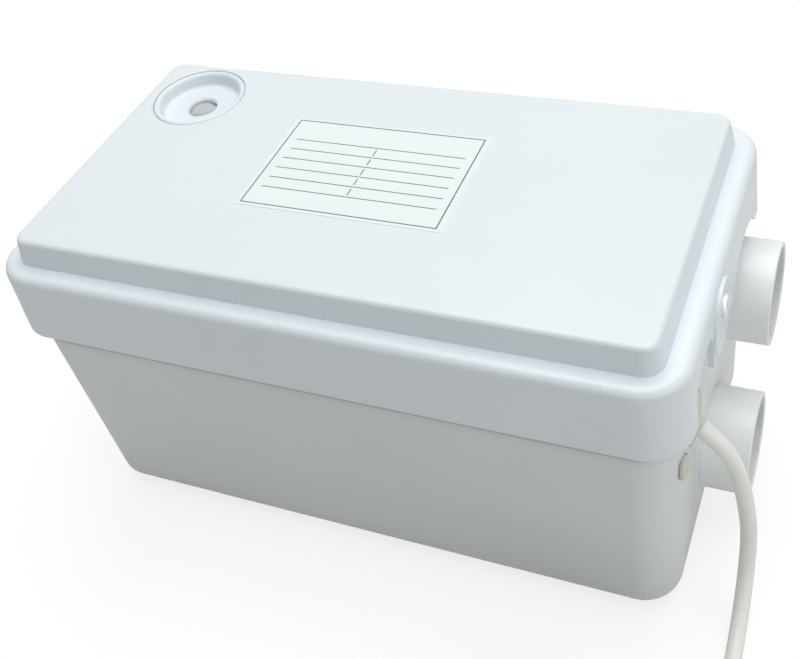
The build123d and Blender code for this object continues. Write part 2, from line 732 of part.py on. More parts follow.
with BuildPart() as pump_mount_screws:
    with BuildSketch(pump_axis.offset(volute_z)):
        with Locations(*mount_places):
            RegularPolygon(4.6, 6)
    extrude(amount=3)
    with BuildSketch(pump_axis.offset(floor_z + 1.5)):
        with Locations(*mount_places):
            Circle(1.95)
    extrude(amount=volute_z - floor_z - 1.5)
keep(pump_mount_screws, "pump_mount_screws")

shaft_bottom = volute_z - 0.5
hub_base = volute_z + 5
with BuildPart() as impeller:
    with BuildSketch(pump_axis.offset(plate_z - 6)):
        Circle(impeller_radius)
    extrude(amount=3)
    with BuildSketch(pump_axis.offset(hub_base)):
        Circle(9)
    extrude(amount=plate_z - 0.5 - hub_base)
    with BuildSketch(pump_axis.offset(hub_base + 1)):
        with PolarLocations((impeller_radius + 7) / 2, impeller_blades):
            Rectangle(impeller_radius - 8, 2.6, rotation=22)
    extrude(amount=plate_z - 5 - hub_base)
    with BuildSketch(pump_axis.offset(hub_base - 1)):
        Circle(shaft_radius + shaft_clearance)
    extrude(amount=plate_z - hub_base + 2, mode=Mode.SUBTRACT)
keep(impeller, "impeller")

with BuildPart() as impeller_nut:
    with BuildSketch(pump_axis.offset(shaft_bottom)):
        RegularPolygon(7, 6)
        Circle(shaft_radius - 1 + shaft_clearance, mode=Mode.SUBTRACT)
    extrude(amount=hub_base - shaft_bottom)
keep(impeller_nut, "impeller_nut")

# Motor: rotor on its shaft in two bearings, stator and windings fixed in the casing
shaft_top = motor_cover_z - 1.5
core_top = core_base + core_height
with BuildPart() as motor_shaft:
    with BuildSketch(pump_axis.offset(hub_base)):
        Circle(shaft_radius)
    extrude(amount=shaft_top - hub_base)
    with BuildSketch(pump_axis.offset(shaft_bottom - 1)):
        Circle(shaft_radius - 1)
    extrude(amount=hub_base - shaft_bottom + 1)
keep(motor_shaft, "motor_shaft")

with BuildPart() as shaft_seal:
    with BuildSketch(pump_axis.offset(plate_z)):
        Circle(seal_radius)
        Circle(shaft_radius + shaft_clearance, mode=Mode.SUBTRACT)
    extrude(amount=casing_z - plate_z)
keep(shaft_seal, "shaft_seal")

# The two ball bearings, simplified to their races with a groove on each side between them
lower_bearing_z = casing_z + 2
upper_bearing_z = motor_cover_z - 5 - bearing_width
with BuildPart() as shaft_bearings:
    for base in (lower_bearing_z, upper_bearing_z):
        with BuildSketch(pump_axis.offset(base)):
            Circle(bearing_radius)
            Circle(shaft_radius + shaft_clearance, mode=Mode.SUBTRACT)
        extrude(amount=bearing_width)
        for level, step in ((base, 1), (base + bearing_width, -1)):
            with BuildSketch(pump_axis.offset(level)):
                Circle(bearing_radius - 2.5)
                Circle(shaft_radius + 2.5, mode=Mode.SUBTRACT)
            extrude(amount=step, mode=Mode.SUBTRACT)
keep(shaft_bearings, "shaft_bearings")

with BuildPart() as stator_core:
    with BuildSketch(pump_axis.offset(core_base)):
        Circle(casing_radius - casing_wall - 0.05)
        Circle(stator_bore, mode=Mode.SUBTRACT)
        with PolarLocations(stator_bore + slot_depth / 2 + 2, slot_count):
            Rectangle(slot_depth, slot_width, mode=Mode.SUBTRACT)
    extrude(amount=core_height)
keep(stator_core, "stator_core")

winding_drop = 8.0
with BuildPart() as stator_windings:
    for level in (core_base - winding_drop, core_top + 0.1):
        with BuildSketch(pump_axis.offset(level)):
            Circle(stator_bore + slot_depth + 3)
            Circle(stator_bore + 1.5, mode=Mode.SUBTRACT)
        extrude(amount=winding_drop - 0.1)
    with BuildSketch(pump_axis.offset(core_base - 1)):
        with PolarLocations(stator_bore + slot_depth / 2 + 2, slot_count):
            Rectangle(slot_depth - 0.4, slot_width - 0.4)
    extrude(amount=core_height + 2)
keep(stator_windings, "stator_windings")

with BuildPart() as rotor_core:
    with BuildSketch(pump_axis.offset(core_base)):
        Circle(stator_bore - air_gap)
    extrude(amount=core_height)
    with BuildSketch(pump_axis.offset(core_base - 4)):
        Circle(stator_bore - air_gap - 1)
        Circle(shaft_radius + 8, mode=Mode.SUBTRACT)
    extrude(amount=core_height + 8)
    with BuildSketch(pump_axis.offset(core_base - 5)):
        Circle(shaft_radius + shaft_clearance)
    extrude(amount=core_height + 10, mode=Mode.SUBTRACT)
keep(rotor_core, "rotor_core")

with BuildPart() as motor_end_cover:
    with BuildSketch(pump_axis.offset(motor_cover_z)):
        Circle(casing_radius + 1)
    extrude(amount=motor_cover_thick)
    fillet(motor_end_cover.faces().sort_by(Axis.Z)[-1].edges(), 2)
    with BuildSketch(pump_axis.offset(motor_cover_z - 4)):
        Circle(casing_radius - casing_wall - 0.1)
        Circle(casing_radius - casing_wall - 3, mode=Mode.SUBTRACT)
    extrude(amount=4)
    with BuildSketch(pump_axis.offset(upper_bearing_z - 1)):
        Circle(bearing_radius + 3)
    extrude(amount=motor_cover_z - upper_bearing_z + 1)
    with BuildSketch(pump_axis.offset(upper_bearing_z - 1)):
        Circle(bearing_radius + 0.05)
    extrude(amount=bearing_width + 1, mode=Mode.SUBTRACT)
    with BuildSketch(pump_axis.offset(upper_bearing_z)):
        Circle(shaft_radius + 1.5)
    extrude(amount=motor_cover_z + 1 - upper_bearing_z, mode=Mode.SUBTRACT)
keep(motor_end_cover, "motor_end_cover")

# Capacitor beside the motor, in a band with a saddle against the casing
with BuildPart() as capacitor:
    with BuildSketch(Plane.XY.offset(capacitor_base)):
        with Locations((capacitor_x, capacitor_y)):
            Circle(capacitor_radius)
    extrude(amount=capacitor_height)
    fillet(capacitor.faces().sort_by(Axis.Z)[-1].edges(), 1.5)
    fillet(capacitor.faces().sort_by(Axis.Z)[0].edges(), 1.5)
    with BuildSketch(Plane.XY.offset(capacitor_base + capacitor_height)):
        with Locations((capacitor_x - 5, capacitor_y), (capacitor_x + 5, capacitor_y)):
            Rectangle(0.8, 6.3)
    extrude(amount=6)
keep(capacitor, "capacitor")

to_motor = Vector(pump_x - capacitor_x, pump_y - capacitor_y, 0)
clip_height = 12.0
clip_z = capacitor_base + capacitor_height / 2 - clip_height / 2
with BuildPart() as capacitor_clip:
    with BuildSketch(Plane(origin=(capacitor_x, capacitor_y, clip_z), x_dir=to_motor.normalized())):
        Circle(capacitor_radius + clip_thick)
        with Locations((to_motor.length / 2, 0)):
            Rectangle(to_motor.length, 2 * clip_thick)
        with Locations((to_motor.length - casing_radius, 0)):
            Rectangle(8, 26)
        Circle(capacitor_radius + 0.05, mode=Mode.SUBTRACT)
        with Locations((to_motor.length, 0)):
            Circle(casing_radius + 0.05, mode=Mode.SUBTRACT)
    extrude(amount=clip_height)
keep(capacitor_clip, "capacitor_clip")

# Terminal block on top of the motor
block_z = motor_cover_z + motor_cover_thick
block_x, block_y, block_length, block_height = pump_x + 4, pump_y - 22, 32.0, 9.5
with BuildPart() as terminal_block:
    with BuildSketch(Plane.XY.offset(block_z)):
        with Locations((block_x, block_y)):
            Rectangle(block_length, 15)
    extrude(amount=block_height)
    with BuildSketch(Plane.XY.offset(block_z + block_height)):
        with Locations((block_x, block_y)):
            with GridLocations(10, 7, 3, 2):
                Circle(2.2)
    extrude(amount=-5, mode=Mode.SUBTRACT)
keep(terminal_block, "terminal_block")

# Discharge: rubber elbow with two clamps, flap valve, and a spigot through the back wall
hose_radius = spigot_radius + hose_wall
with BuildPart() as discharge_elbow:
    with BuildLine() as elbow_path:
        FilletPolyline(
            (outlet_x + hose_overlap, valve_y, outlet_z),
            (valve_x, valve_y, outlet_z),
            (valve_x, valve_y, valve_seat_z - 1),
            radius=elbow_bend,
        )
    with BuildSketch(Plane.YZ.offset(outlet_x + hose_overlap)):
        with Locations((valve_y, outlet_z)):
            Circle(hose_radius)
            Circle(spigot_radius + 0.1, mode=Mode.SUBTRACT)
    sweep(path=elbow_path.wire())
keep(discharge_elbow, "discharge_elbow")

clamp_width = 8.0
with BuildPart() as hose_clamps:
    with BuildSketch(Plane.YZ.offset(outlet_x + 3)):
        with Locations((valve_y, outlet_z)):
            Circle(hose_radius + 1)
            Circle(hose_radius + 0.05, mode=Mode.SUBTRACT)
    extrude(amount=clamp_width)
    with BuildSketch(Plane.YZ.offset(outlet_x + 3)):
        with Locations((valve_y, outlet_z + hose_radius + 3)):
            Rectangle(9, 5)
    extrude(amount=clamp_width)
    with BuildSketch(Plane.XY.offset(valve_seat_z - 12)):
        with Locations((valve_x, valve_y)):
            Circle(hose_radius + 1)
            Circle(hose_radius + 0.05, mode=Mode.SUBTRACT)
    extrude(amount=clamp_width)
    with BuildSketch(Plane.XY.offset(valve_seat_z - 12)):
        with Locations((valve_x, valve_y - hose_radius - 3)):
            Rectangle(9, 5)
    extrude(amount=clamp_width)
keep(hose_clamps, "hose_clamps")

valve_floor = 3.0
flap_hinge_y = valve_y - valve_flap_radius - 1.6
flap_hinge_z = valve_seat_z + valve_floor + 3.6
valve_top = valve_seat_z + valve_height
outlet_end_y = discharge_seat_y - gasket_thick - flange_thick - 1.0
with BuildPart() as check_valve_body:
    with BuildSketch(Plane.XY.offset(valve_seat_z)):
        with Locations((valve_x, valve_y)):
            Circle(valve_radius)
    extrude(amount=valve_height)
    with BuildSketch(Plane.XY.offset(valve_seat_z - hose_overlap)):
        with Locations((valve_x, valve_y)):
            Circle(spigot_radius)
    extrude(amount=hose_overlap)
    with BuildSketch(BACKWARDS.offset(valve_y)):
        with Locations((-valve_x, valve_outlet_z)):
            Circle(spigot_radius)
    extrude(amount=outlet_end_y - valve_y)
    with BuildSketch(Plane.XY.offset(valve_seat_z + valve_floor)):
        with Locations((valve_x, valve_y)):
            Circle(valve_radius - valve_wall)
    extrude(amount=valve_height, mode=Mode.SUBTRACT)
    with BuildSketch(Plane.XY.offset(valve_seat_z - hose_overlap - 1)):
        with Locations((valve_x, valve_y)):
            Circle(spigot_bore)
    extrude(amount=hose_overlap + valve_floor + 2, mode=Mode.SUBTRACT)
    with BuildSketch(BACKWARDS.offset(valve_y)):
        with Locations((-valve_x, valve_outlet_z)):
            Circle(spigot_bore)
    extrude(amount=outlet_end_y - valve_y + 1, mode=Mode.SUBTRACT)
    with BuildSketch(Plane.XY.offset(valve_seat_z + valve_floor)):
        for place in (valve_x - 6.5, valve_x + 6.5):
            with Locations((place, flap_hinge_y)):
                Rectangle(3, 4)
    extrude(amount=6)
    with BuildSketch(Plane.YZ.offset(valve_x - 8)):
        with Locations((flap_hinge_y, flap_hinge_z)):
            Circle(hinge_pin_radius)
    extrude(amount=16, mode=Mode.SUBTRACT)
keep(check_valve_body, "check_valve_body")

with BuildPart() as check_valve_cap:
    with BuildSketch(Plane.XY.offset(valve_top)):
        with Locations((valve_x, valve_y)):
            Circle(valve_radius + 1.5)
    extrude(amount=4)
    fillet(check_valve_cap.faces().sort_by(Axis.Z)[-1].edges(), 1.5)
    with BuildSketch(Plane.XY.offset(valve_top - 3)):
        with Locations((valve_x, valve_y)):
            Circle(valve_radius - valve_wall - 0.1)
    extrude(amount=3)
keep(check_valve_cap, "check_valve_cap")

flap_base = valve_seat_z + valve_floor + flap_gap
with BuildPart() as check_valve_flap:
    with BuildSketch(Plane.XY.offset(flap_base)):
        with Locations((valve_x, valve_y)):
            Circle(valve_flap_radius)
        with Locations((valve_x, valve_y - valve_flap_radius)):
            Rectangle(7, 4.5)
    extrude(amount=flap_thick)
    with BuildSketch(Plane.YZ.offset(valve_x - 4.2)):
        with Locations((flap_hinge_y, flap_hinge_z)):
            Circle(hinge_barrel_radius - 0.2)
    extrude(amount=8.4)
    with BuildSketch(Plane.YZ.offset(valve_x - 6)):
        with Locations((flap_hinge_y, flap_hinge_z)):
            Circle(hinge_pin_radius + pin_clearance)
    extrude(amount=12, mode=Mode.SUBTRACT)
keep(check_valve_flap, "check_valve_flap")

inner_flange_y = discharge_seat_y - gasket_thick - flange_thick
with BuildPart() as discharge_spigot:
    with BuildSketch(BACKWARDS.offset(inner_flange_y)):
        with Locations((-valve_x, valve_outlet_z)):
            Circle(discharge_flange)
    extrude(amount=flange_thick)
    with BuildSketch(BACKWARDS.offset(inner_flange_y)):
        with Locations((-valve_x, valve_outlet_z)):
            Circle(spigot_radius)
    extrude(amount=discharge_reach - inner_flange_y)
    with BuildSketch(BACKWARDS.offset(inner_flange_y)):
        with Locations((-valve_x, valve_outlet_z)):
            Circle(discharge_neck)
    extrude(amount=neck_end_y - inner_flange_y)
    with BuildSketch(BACKWARDS.offset(inner_flange_y - 9)):
        with Locations((-valve_x, valve_outlet_z)):
            Circle(spigot_radius + 2.4)
    extrude(amount=9)
    with BuildSketch(BACKWARDS.offset(inner_flange_y - 9)):
        with Locations((-valve_x, valve_outlet_z)):
            Circle(spigot_radius + 0.1)
    extrude(amount=9, mode=Mode.SUBTRACT)
    with BuildSketch(BACKWARDS.offset(inner_flange_y - 1)):
        with Locations((-valve_x, valve_outlet_z)):
            Circle(spigot_bore)
    extrude(amount=discharge_reach - inner_flange_y + 2, mode=Mode.SUBTRACT)
    with BuildSketch(BACKWARDS.offset(inner_flange_y)):
        with Locations(*around((-valve_x, valve_outlet_z), outlet_screw_circle, 4, 45)):
            Circle(1.5)
    extrude(amount=flange_thick, mode=Mode.SUBTRACT)
    fillet(discharge_spigot.faces().sort_by(Axis.Y)[-1].edges(), 0.9)
keep(discharge_spigot, "discharge_spigot")

# Level switch: rising water squeezes the air in the bell, the diaphragm lifts the plunger and the lever
bell = Plane(origin=(bell_x, bell_y, 0))
diaphragm_z = bell_top + 3
cover_z = diaphragm_z + diaphragm_thick
cover_height = 11.0
plunger_z = cover_z + 0.3
with BuildPart() as air_bell:
    with BuildSketch(bell.offset(floor_z)):
        Circle(bell_radius)
    extrude(amount=bell_top - floor_z)
    with BuildSketch(bell.offset(bell_top)):
        Circle(switch_radius)
    extrude(amount=3)
    with BuildSketch(bell.offset(floor_z)):
        Circle(bell_radius - bell_wall)
    extrude(amount=diaphragm_z - floor_z, mode=Mode.SUBTRACT)
    with BuildSketch(bell.offset(floor_z)):
        Rectangle(3 * bell_radius, 8)
        Rectangle(8, 3 * bell_radius)
    extrude(amount=12, mode=Mode.SUBTRACT)
keep(air_bell, "air_bell")

with BuildPart() as diaphragm:
    with BuildSketch(bell.offset(diaphragm_z)):
        Circle(switch_radius)
    extrude(amount=diaphragm_thick)
keep(diaphragm, "diaphragm")

with BuildPart() as diaphragm_cover:
    with BuildSketch(bell.offset(cover_z)):
        Circle(switch_radius)
    extrude(amount=cover_height)
    fillet(diaphragm_cover.faces().sort_by(Axis.Z)[-1].edges(), 2)
    with BuildSketch(bell.offset(cover_z)):
        Circle(switch_radius - 3)
    extrude(amount=cover_height - 2, mode=Mode.SUBTRACT)
    with BuildSketch(bell.offset(cover_z)):
        Circle(plunger_radius + pin_clearance)
    extrude(amount=cover_height, mode=Mode.SUBTRACT)
keep(diaphragm_cover, "diaphragm_cover")

cover_top = cover_z + cover_height
plunger_top = cover_top + 1.5
with BuildPart() as plunger:
    with BuildSketch(bell.offset(plunger_z)):
        Circle(switch_radius - 9)
    extrude(amount=1.5)
    with BuildSketch(bell.offset(plunger_z)):
        Circle(plunger_radius)
    extrude(amount=plunger_top - plunger_z)
    fillet(plunger.faces().sort_by(Axis.Z)[-1].edges(), 1.2)
keep(plunger, "plunger")

spring_base = plunger_z + 1.5 + spring_wire / 2 + 0.1
spring_top = cover_z + cover_height - 2 - spring_wire / 2 - 0.1
with BuildPart() as plunger_spring:
    with BuildLine(Plane(origin=(bell_x, bell_y, spring_base))) as spring_path:
        Helix(pitch=(spring_top - spring_base) / 4, height=spring_top - spring_base, radius=spring_radius)
    with BuildSketch(Plane(origin=spring_path.line @ 0, z_dir=spring_path.line % 0)):
        Circle(spring_wire / 2)
    sweep(path=spring_path.wire(), is_frenet=True)
keep(plunger_spring, "plunger_spring")

lever_gap = 0.3
lever_pivot_x = bell_x - 15.0
lever_z = plunger_top + lever_gap
pivot_z = lever_z + 2.0
button_x, button_radius = bell_x - 3.0, 1.2
with BuildPart() as switch_lever:
    with BuildSketch(Plane.XZ.offset(-(bell_y - 3))):
        with BuildLine():
            Polyline(
                (lever_pivot_x, lever_z), (bell_x + 9, lever_z), (bell_x + 9, lever_z + 1),
                (lever_pivot_x, lever_z + 1), close=True,
            )
        make_face()
        with Locations((lever_pivot_x, pivot_z)):
            Circle(2)
    extrude(amount=-6)
    with BuildSketch(Plane.XZ.offset(-(bell_y - 4))):
        with Locations((lever_pivot_x, pivot_z)):
            Circle(hinge_pin_radius + pin_clearance)
    extrude(amount=-8, mode=Mode.SUBTRACT)
keep(switch_lever, "switch_lever")

switch_base = lever_z + 5.2
switch_top = switch_base + 7.5
with BuildPart() as microswitch:
    with BuildSketch(Plane.XY.offset(switch_base)):
        with Locations((bell_x - 3, bell_y)):
            Rectangle(28, 12)
    extrude(amount=switch_top - switch_base)
    with BuildSketch(Plane.XY.offset(switch_base)):
        with Locations((button_x, bell_y)):
            Circle(button_radius + pin_clearance)
    extrude(amount=4.5, mode=Mode.SUBTRACT)
    for side in (-1, 1):
        with BuildSketch(Plane.XZ.offset(-(bell_y + side * 5.0))):
            with Locations((lever_pivot_x, (switch_top + cover_top) / 2)):
                Rectangle(4, switch_top - cover_top)
        extrude(amount=1.2, both=True)
        with BuildSketch(Plane.XZ.offset(-(bell_y + side * 5.0))):
            with Locations((bell_x + 11, (switch_top + cover_top) / 2)):
                Rectangle(3, switch_top - cover_top)
        extrude(amount=1.2, both=True)
    with BuildSketch(Plane.XZ.offset(-(bell_y - 8))):
        with Locations((lever_pivot_x, pivot_z)):
            Circle(hinge_pin_radius)
    extrude(amount=-16, mode=Mode.SUBTRACT)
keep(microswitch, "microswitch")

with BuildPart() as switch_button:
    with BuildSketch(Plane.XY.offset(lever_z + 1 + lever_gap)):
        with Locations((button_x, bell_y)):
            Circle(button_radius)
    extrude(amount=switch_base + 2 - lever_z - 1 - lever_gap)
    fillet(switch_button.faces().sort_by(Axis.Z)[0].edges(), 0.5)
keep(switch_button, "switch_button")

# Pins that the two inlet flaps, the outlet's flap and the lever turn on
with BuildPart() as hinge_pins:
    for y, z in ports():
        with BuildSketch(Plane.XZ.offset(-(y - 7))):
            with Locations((hinge_x, z + hinge_rise)):
                Circle(hinge_pin_radius)
        extrude(amount=-14)
    with BuildSketch(Plane.YZ.offset(valve_x - 8)):
        with Locations((flap_hinge_y, flap_hinge_z)):
            Circle(hinge_pin_radius)
    extrude(amount=16)
    with BuildSketch(Plane.XZ.offset(-(bell_y - 6.2))):
        with Locations((lever_pivot_x, pivot_z)):
            Circle(hinge_pin_radius)
    extrude(amount=-12.4)
keep(hinge_pins, "hinge_pins")

# Lead entry: grommet in the wall with a slanting hole, tapered relief, sheath inside, blanking plug
exit_point = Vector(wall_at_grommet - tank_wall / 2, grommet_y, grommet_z) + slant * exit_reach
relief = Plane(origin=exit_point, x_dir=(0, 1, 0), z_dir=-slant)
with BuildPart() as cable_grommet:
    with BuildSketch(Plane.YZ.offset(wall_at_grommet - tank_wall - 0.3 - grommet_lip)):
        with Locations((grommet_y, grommet_z)):
            Circle(grommet_neck)
    extrude(amount=tank_wall + 0.6 + 2 * grommet_lip)
    with BuildSketch(Plane.YZ.offset(wall_at_grommet + 0.3)):
        with Locations((grommet_y, grommet_z)):
            Circle(grommet_radius)
    extrude(amount=grommet_lip)
    with BuildSketch(Plane.YZ.offset(wall_at_grommet - tank_wall - 0.3)):
        with Locations((grommet_y, grommet_z)):
            Circle(grommet_radius)
    extrude(amount=-grommet_lip)
    with BuildSketch(relief):
        Circle(relief_small + 0.05)
    with BuildSketch(relief.offset(relief_length)):
        Circle(relief_big + 0.05)
    loft(mode=Mode.SUBTRACT)
    with BuildSketch(relief):
        Circle(relief_small + 0.05)
    extrude(amount=-8, mode=Mode.SUBTRACT)
keep(cable_grommet, "cable_grommet")

with BuildPart() as strain_relief:
    with BuildSketch(relief):
        Circle(relief_small)
    with BuildSketch(relief.offset(relief_length)):
        Circle(relief_big)
    loft()
keep(strain_relief, "strain_relief")

inner_start = exit_point - slant * relief_length
block_side = block_x + block_length / 2
cable_route_z = block_z + block_height / 2
inner_route = [
    inner_start,
    inner_start - slant * 14,
    Vector(105, grommet_y + 1, cable_route_z - 9),
    Vector(72, grommet_y + 6, cable_route_z - 3),
    Vector(block_side + 18, block_y, cable_route_z),
    Vector(block_side, block_y, cable_route_z),
]


def bend_radii(route):
    """Each corner's radius: as large as the two runs beside it allow."""
    radii = []
    for a, b, c in zip(route, route[1:], route[2:]):
        run_in, run_out = b - a, c - b
        half_turn = radians(run_in.get_angle(run_out)) / 2
        radii.append(0.45 * min(run_in.length, run_out.length) / tan(half_turn))
    return radii


with BuildPart() as inner_cable:
    with BuildLine() as inner_path:
        FilletPolyline(*inner_route, radius=bend_radii(inner_route))
    with BuildSketch(Plane(origin=inner_route[0], z_dir=inner_route[1] - inner_route[0])):
        Circle(cable_radius)
    sweep(path=inner_path.wire())
keep(inner_cable, "inner_cable")

with BuildPart() as blanking_plug:
    with BuildSketch(spare_entry.offset(0.2)):
        SlotOverall(spare_height, spare_width, rotation=90)
    extrude(amount=1.4)
    fillet(blanking_plug.faces().sort_by(Axis(spare_entry.origin, spare_entry.z_dir))[-1].edges(), 0.9)
    with BuildSketch(spare_entry.offset(-4.2)):
        SlotOverall(spare_height - 2.7, spare_width - 2.2, rotation=90)
    extrude(amount=4.4)
keep(blanking_plug, "blanking_plug")

# Free lead: out of the grommet, down under its own weight and forwards along the floor
lead_x, coil_y = 170.2, -160.8
landing_radius, landing_y = 38.0, -87.0
coil_z = cable_radius + coil_lift
corner_reach = landing_radius / cos(radians(11.25))
landing_angles = [radians(11.25 + 22.5 * k) for k in range(4)]
lead_route = [
    exit_point,
    exit_point + slant * 11.2,
    Vector(162.9, grommet_y, 79.7),
    Vector(165.9, grommet_y, 67.0),
    Vector(168.4, grommet_y, 48.5),
    *[
        Vector(
            169.3 + 0.3 * k,
            landing_y + corner_reach * cos(angle),
            cable_radius + landing_radius - corner_reach * sin(angle),
        )
        for k, angle in enumerate(landing_angles)
    ],
    Vector(lead_x + 0.5, -97, cable_radius),
    Vector(lead_x + 0.4, -119, cable_radius + 0.1),
    Vector(lead_x, -138, coil_z),
    Vector(lead_x, coil_y + 2 * cable_radius, coil_z),
]


def build_lead(route, name):
    """A round tube along the route's runs and arcs; it prints the radii and the length."""
    radii = bend_radii(route)
    with BuildPart() as lead:
        with BuildLine() as line:
            FilletPolyline(*route, radius=radii)
        with BuildSketch(Plane(origin=route[0], z_dir=route[1] - route[0])):
            Circle(cable_radius)
        sweep(path=line.wire())
    keep(lead, name)
    length = line.wire().length
    print(name, "radii", [round(r, 1) for r in radii], "length", round(length, 1))
    print(name, "volume ratio", round(lead.part.volume / (pi * cable_radius**2 * length), 4))
    return length


lead_length = build_lead(lead_route, "mains_cable")

# Coil: one tube that winds inwards, climbs in the half turn where it reverses and winds outwards on top
inwards = [coil_radius - k * coil_pitch / 2 for k in range(coil_half_turns + 1)]
turn_radii = inwards + inwards[-2:0:-1]
turn_points = [Vector(lead_x, coil_y, coil_z)]
for k, radius in enumerate(turn_radii):
    across = -2 * radius if k % 2 == 0 else 2 * radius
    climb = layer_rise if k == coil_half_turns else 0
    turn_points.append(turn_points[-1] + Vector(across, 0, climb))
last_radius = inwards[0]
last_centre = turn_points[-1] - Vector(last_radius, 0, 0)
coil_end = last_centre + Vector(-2 * cable_radius, -last_radius, 0)
with BuildPart() as cable_coil:
    with BuildLine() as coil_line:
        Line(turn_points[0] + Vector(0, 2 * cable_radius, 0), turn_points[0])
        for k, (a, b) in enumerate(zip(turn_points, turn_points[1:])):
            bulge = Vector(0, (b - a).length / 2, 0) * (-1 if k % 2 == 0 else 1)
            ThreePointArc(a, (a + b) / 2 + bulge, b)
        quarter = Vector(cos(radians(-45)), sin(radians(-45)), 0) * last_radius
        ThreePointArc(turn_points[-1], last_centre + quarter, last_centre - Vector(0, last_radius, 0))
        Line(last_centre - Vector(0, last_radius, 0), coil_end)
    with BuildSketch(Plane(origin=coil_line.wire() @ 0, z_dir=coil_line.wire() % 0)):
        Circle(cable_radius)
    sweep(path=coil_line.wire())
keep(cable_coil, "cable_coil")
coil_length = coil_line.wire().length
print("cable_coil radii", [round(r, 1) for r in turn_radii + [last_radius]])
print("cable_coil length", round(coil_length, 1))
print("cable_coil volume ratio", round(cable_coil.part.volume / (pi * cable_radius**2 * coil_length), 4))

# The end of the lead, with its plug lying beside the coil
plug_x = coil_end.X - 56.0
tail_route = [
    coil_end,
    coil_end + Vector(-15, 0, 0),
    Vector(plug_x + 16, coil_end.Y, plug_axis_z),
    Vector(plug_x, coil_end.Y, plug_axis_z),
]
tail_length = build_lead(tail_route, "cable_tail")
print("whole lead", round(lead_length + coil_length + tail_length, 1))


def least_gap(points, reach):
    """The smallest gap between stretches of the tube that are more than reach apart along it."""
    least = 1e9
    for i, a in enumerate(points):
        for b in points[i + reach :]:
            least = min(least, (a - b).length)
    return least - 2 * cable_radius


samples = int(coil_length / 3)
coil_points = [coil_line.wire() @ (k / samples) for k in range(samples + 1)]
tail_run = Vector(plug_x, coil_end.Y, plug_axis_z) - coil_end
tail_points = [coil_end + tail_run * (k / 20) for k in range(1, 21)]
print("least gap in the coil and tail", round(least_gap(coil_points + tail_points, 20), 2))

tail_plane = Plane(origin=(plug_x, coil_end.Y, plug_axis_z), x_dir=(0, 1, 0), z_dir=(-1, 0, 0))
with BuildPart() as plug_body:
    with BuildSketch(tail_plane):
        Circle(cable_radius + 1.1)
    with BuildSketch(tail_plane.offset(plug_tail)):
        Circle(cable_radius + 4)
    loft()
    with BuildSketch(tail_plane.offset(plug_tail)):
        Circle(plug_radius)
    extrude(amount=plug_length)
    ends = plug_body.edges().filter_by(GeomType.CIRCLE)
    fillet([e for e in ends if e.radius > plug_radius - 0.1], 4)
keep(plug_body, "plug_body")

with BuildPart() as plug_pins:
    with BuildSketch(tail_plane.offset(plug_tail + plug_length)):
        with GridLocations(plug_pin_spacing, 0, 2, 1):
            Circle(plug_pin_radius)
    extrude(amount=plug_pin_length)
    tips = plug_pins.faces().sort_by(Axis.X)[:2]
    fillet(tips.edges(), 1)
keep(plug_pins, "plug_pins")

# Tie round the coil's turns on its left
tie_left = turn_points[1].X - cable_radius - 0.1
tie_right = turn_points[coil_half_turns].X + cable_radius + 0.4
tie_low = coil_lift - 0.1
tie_high = coil_z + layer_rise + cable_radius + 0.1
tie_plane = Plane.XZ.offset(-(coil_y - tie_width / 2))
with BuildPart() as cable_tie:
    with BuildSketch(tie_plane):
        with Locations(((tie_left + tie_right) / 2, (tie_low + tie_high) / 2)):
            RectangleRounded(tie_right - tie_left + 2 * tie_thick, tie_high - tie_low + 2 * tie_thick, 3)
            RectangleRounded(tie_right - tie_left, tie_high - tie_low, 2, mode=Mode.SUBTRACT)
        with Locations((tie_left + 5, tie_high + tie_thick + 1)):
            Rectangle(6, 3)
    extrude(amount=-tie_width)
keep(cable_tie, "cable_tie")
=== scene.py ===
"""Looks for a boxed sewage pump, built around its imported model.

All lengths are in metres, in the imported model's own frame: +X points to the inlet end, +Y to the back and
+Z up, and the pump stands on z = 0.
"""

import logging
import math
from dataclasses import dataclass, field
from enum import Enum
from typing import Callable, ClassVar, Union

import bpy
from mathutils import Matrix, Vector


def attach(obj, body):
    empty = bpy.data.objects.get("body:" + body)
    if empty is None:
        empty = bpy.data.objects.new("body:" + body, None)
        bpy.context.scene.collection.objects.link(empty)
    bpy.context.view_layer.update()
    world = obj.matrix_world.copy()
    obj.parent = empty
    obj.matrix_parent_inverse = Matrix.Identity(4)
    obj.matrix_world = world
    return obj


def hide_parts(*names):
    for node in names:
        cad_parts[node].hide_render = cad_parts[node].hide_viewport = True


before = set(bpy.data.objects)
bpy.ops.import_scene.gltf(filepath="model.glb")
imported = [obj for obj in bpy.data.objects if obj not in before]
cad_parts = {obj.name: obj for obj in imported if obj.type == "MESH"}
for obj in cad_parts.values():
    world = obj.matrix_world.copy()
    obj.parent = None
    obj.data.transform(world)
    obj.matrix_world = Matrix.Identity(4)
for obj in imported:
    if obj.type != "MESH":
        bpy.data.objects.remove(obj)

log = logging.getLogger("sewage_pump")

Colour = tuple[float, float, float]
Point = tuple[float, float, float]
Number = Union["Value", float]
Settings = dict[str, Union[str, bool]]
Sockets = dict[Union[str, int], Union["Link", Colour, float]]

# Places nearer than NEAR are taken as one, points nearer than MERGED are merged, and an edge that turns by
# less than ROUNDED is shaded as a smooth one.
NEAR = 1e-5
MERGED = 5e-6
ROUNDED = math.radians(35)


class Axis(Enum):
    """The axis that a pattern runs along or turns about."""

    X = 0
    Y = 1
    Z = 2


# ---- Shader expressions


class Link:
    """A colour or vector socket that another node can take."""

    def __init__(self, graph: "Graph", socket: bpy.types.NodeSocket) -> None:
        """Wraps one output socket of a graph."""
        self.graph = graph
        self.socket = socket


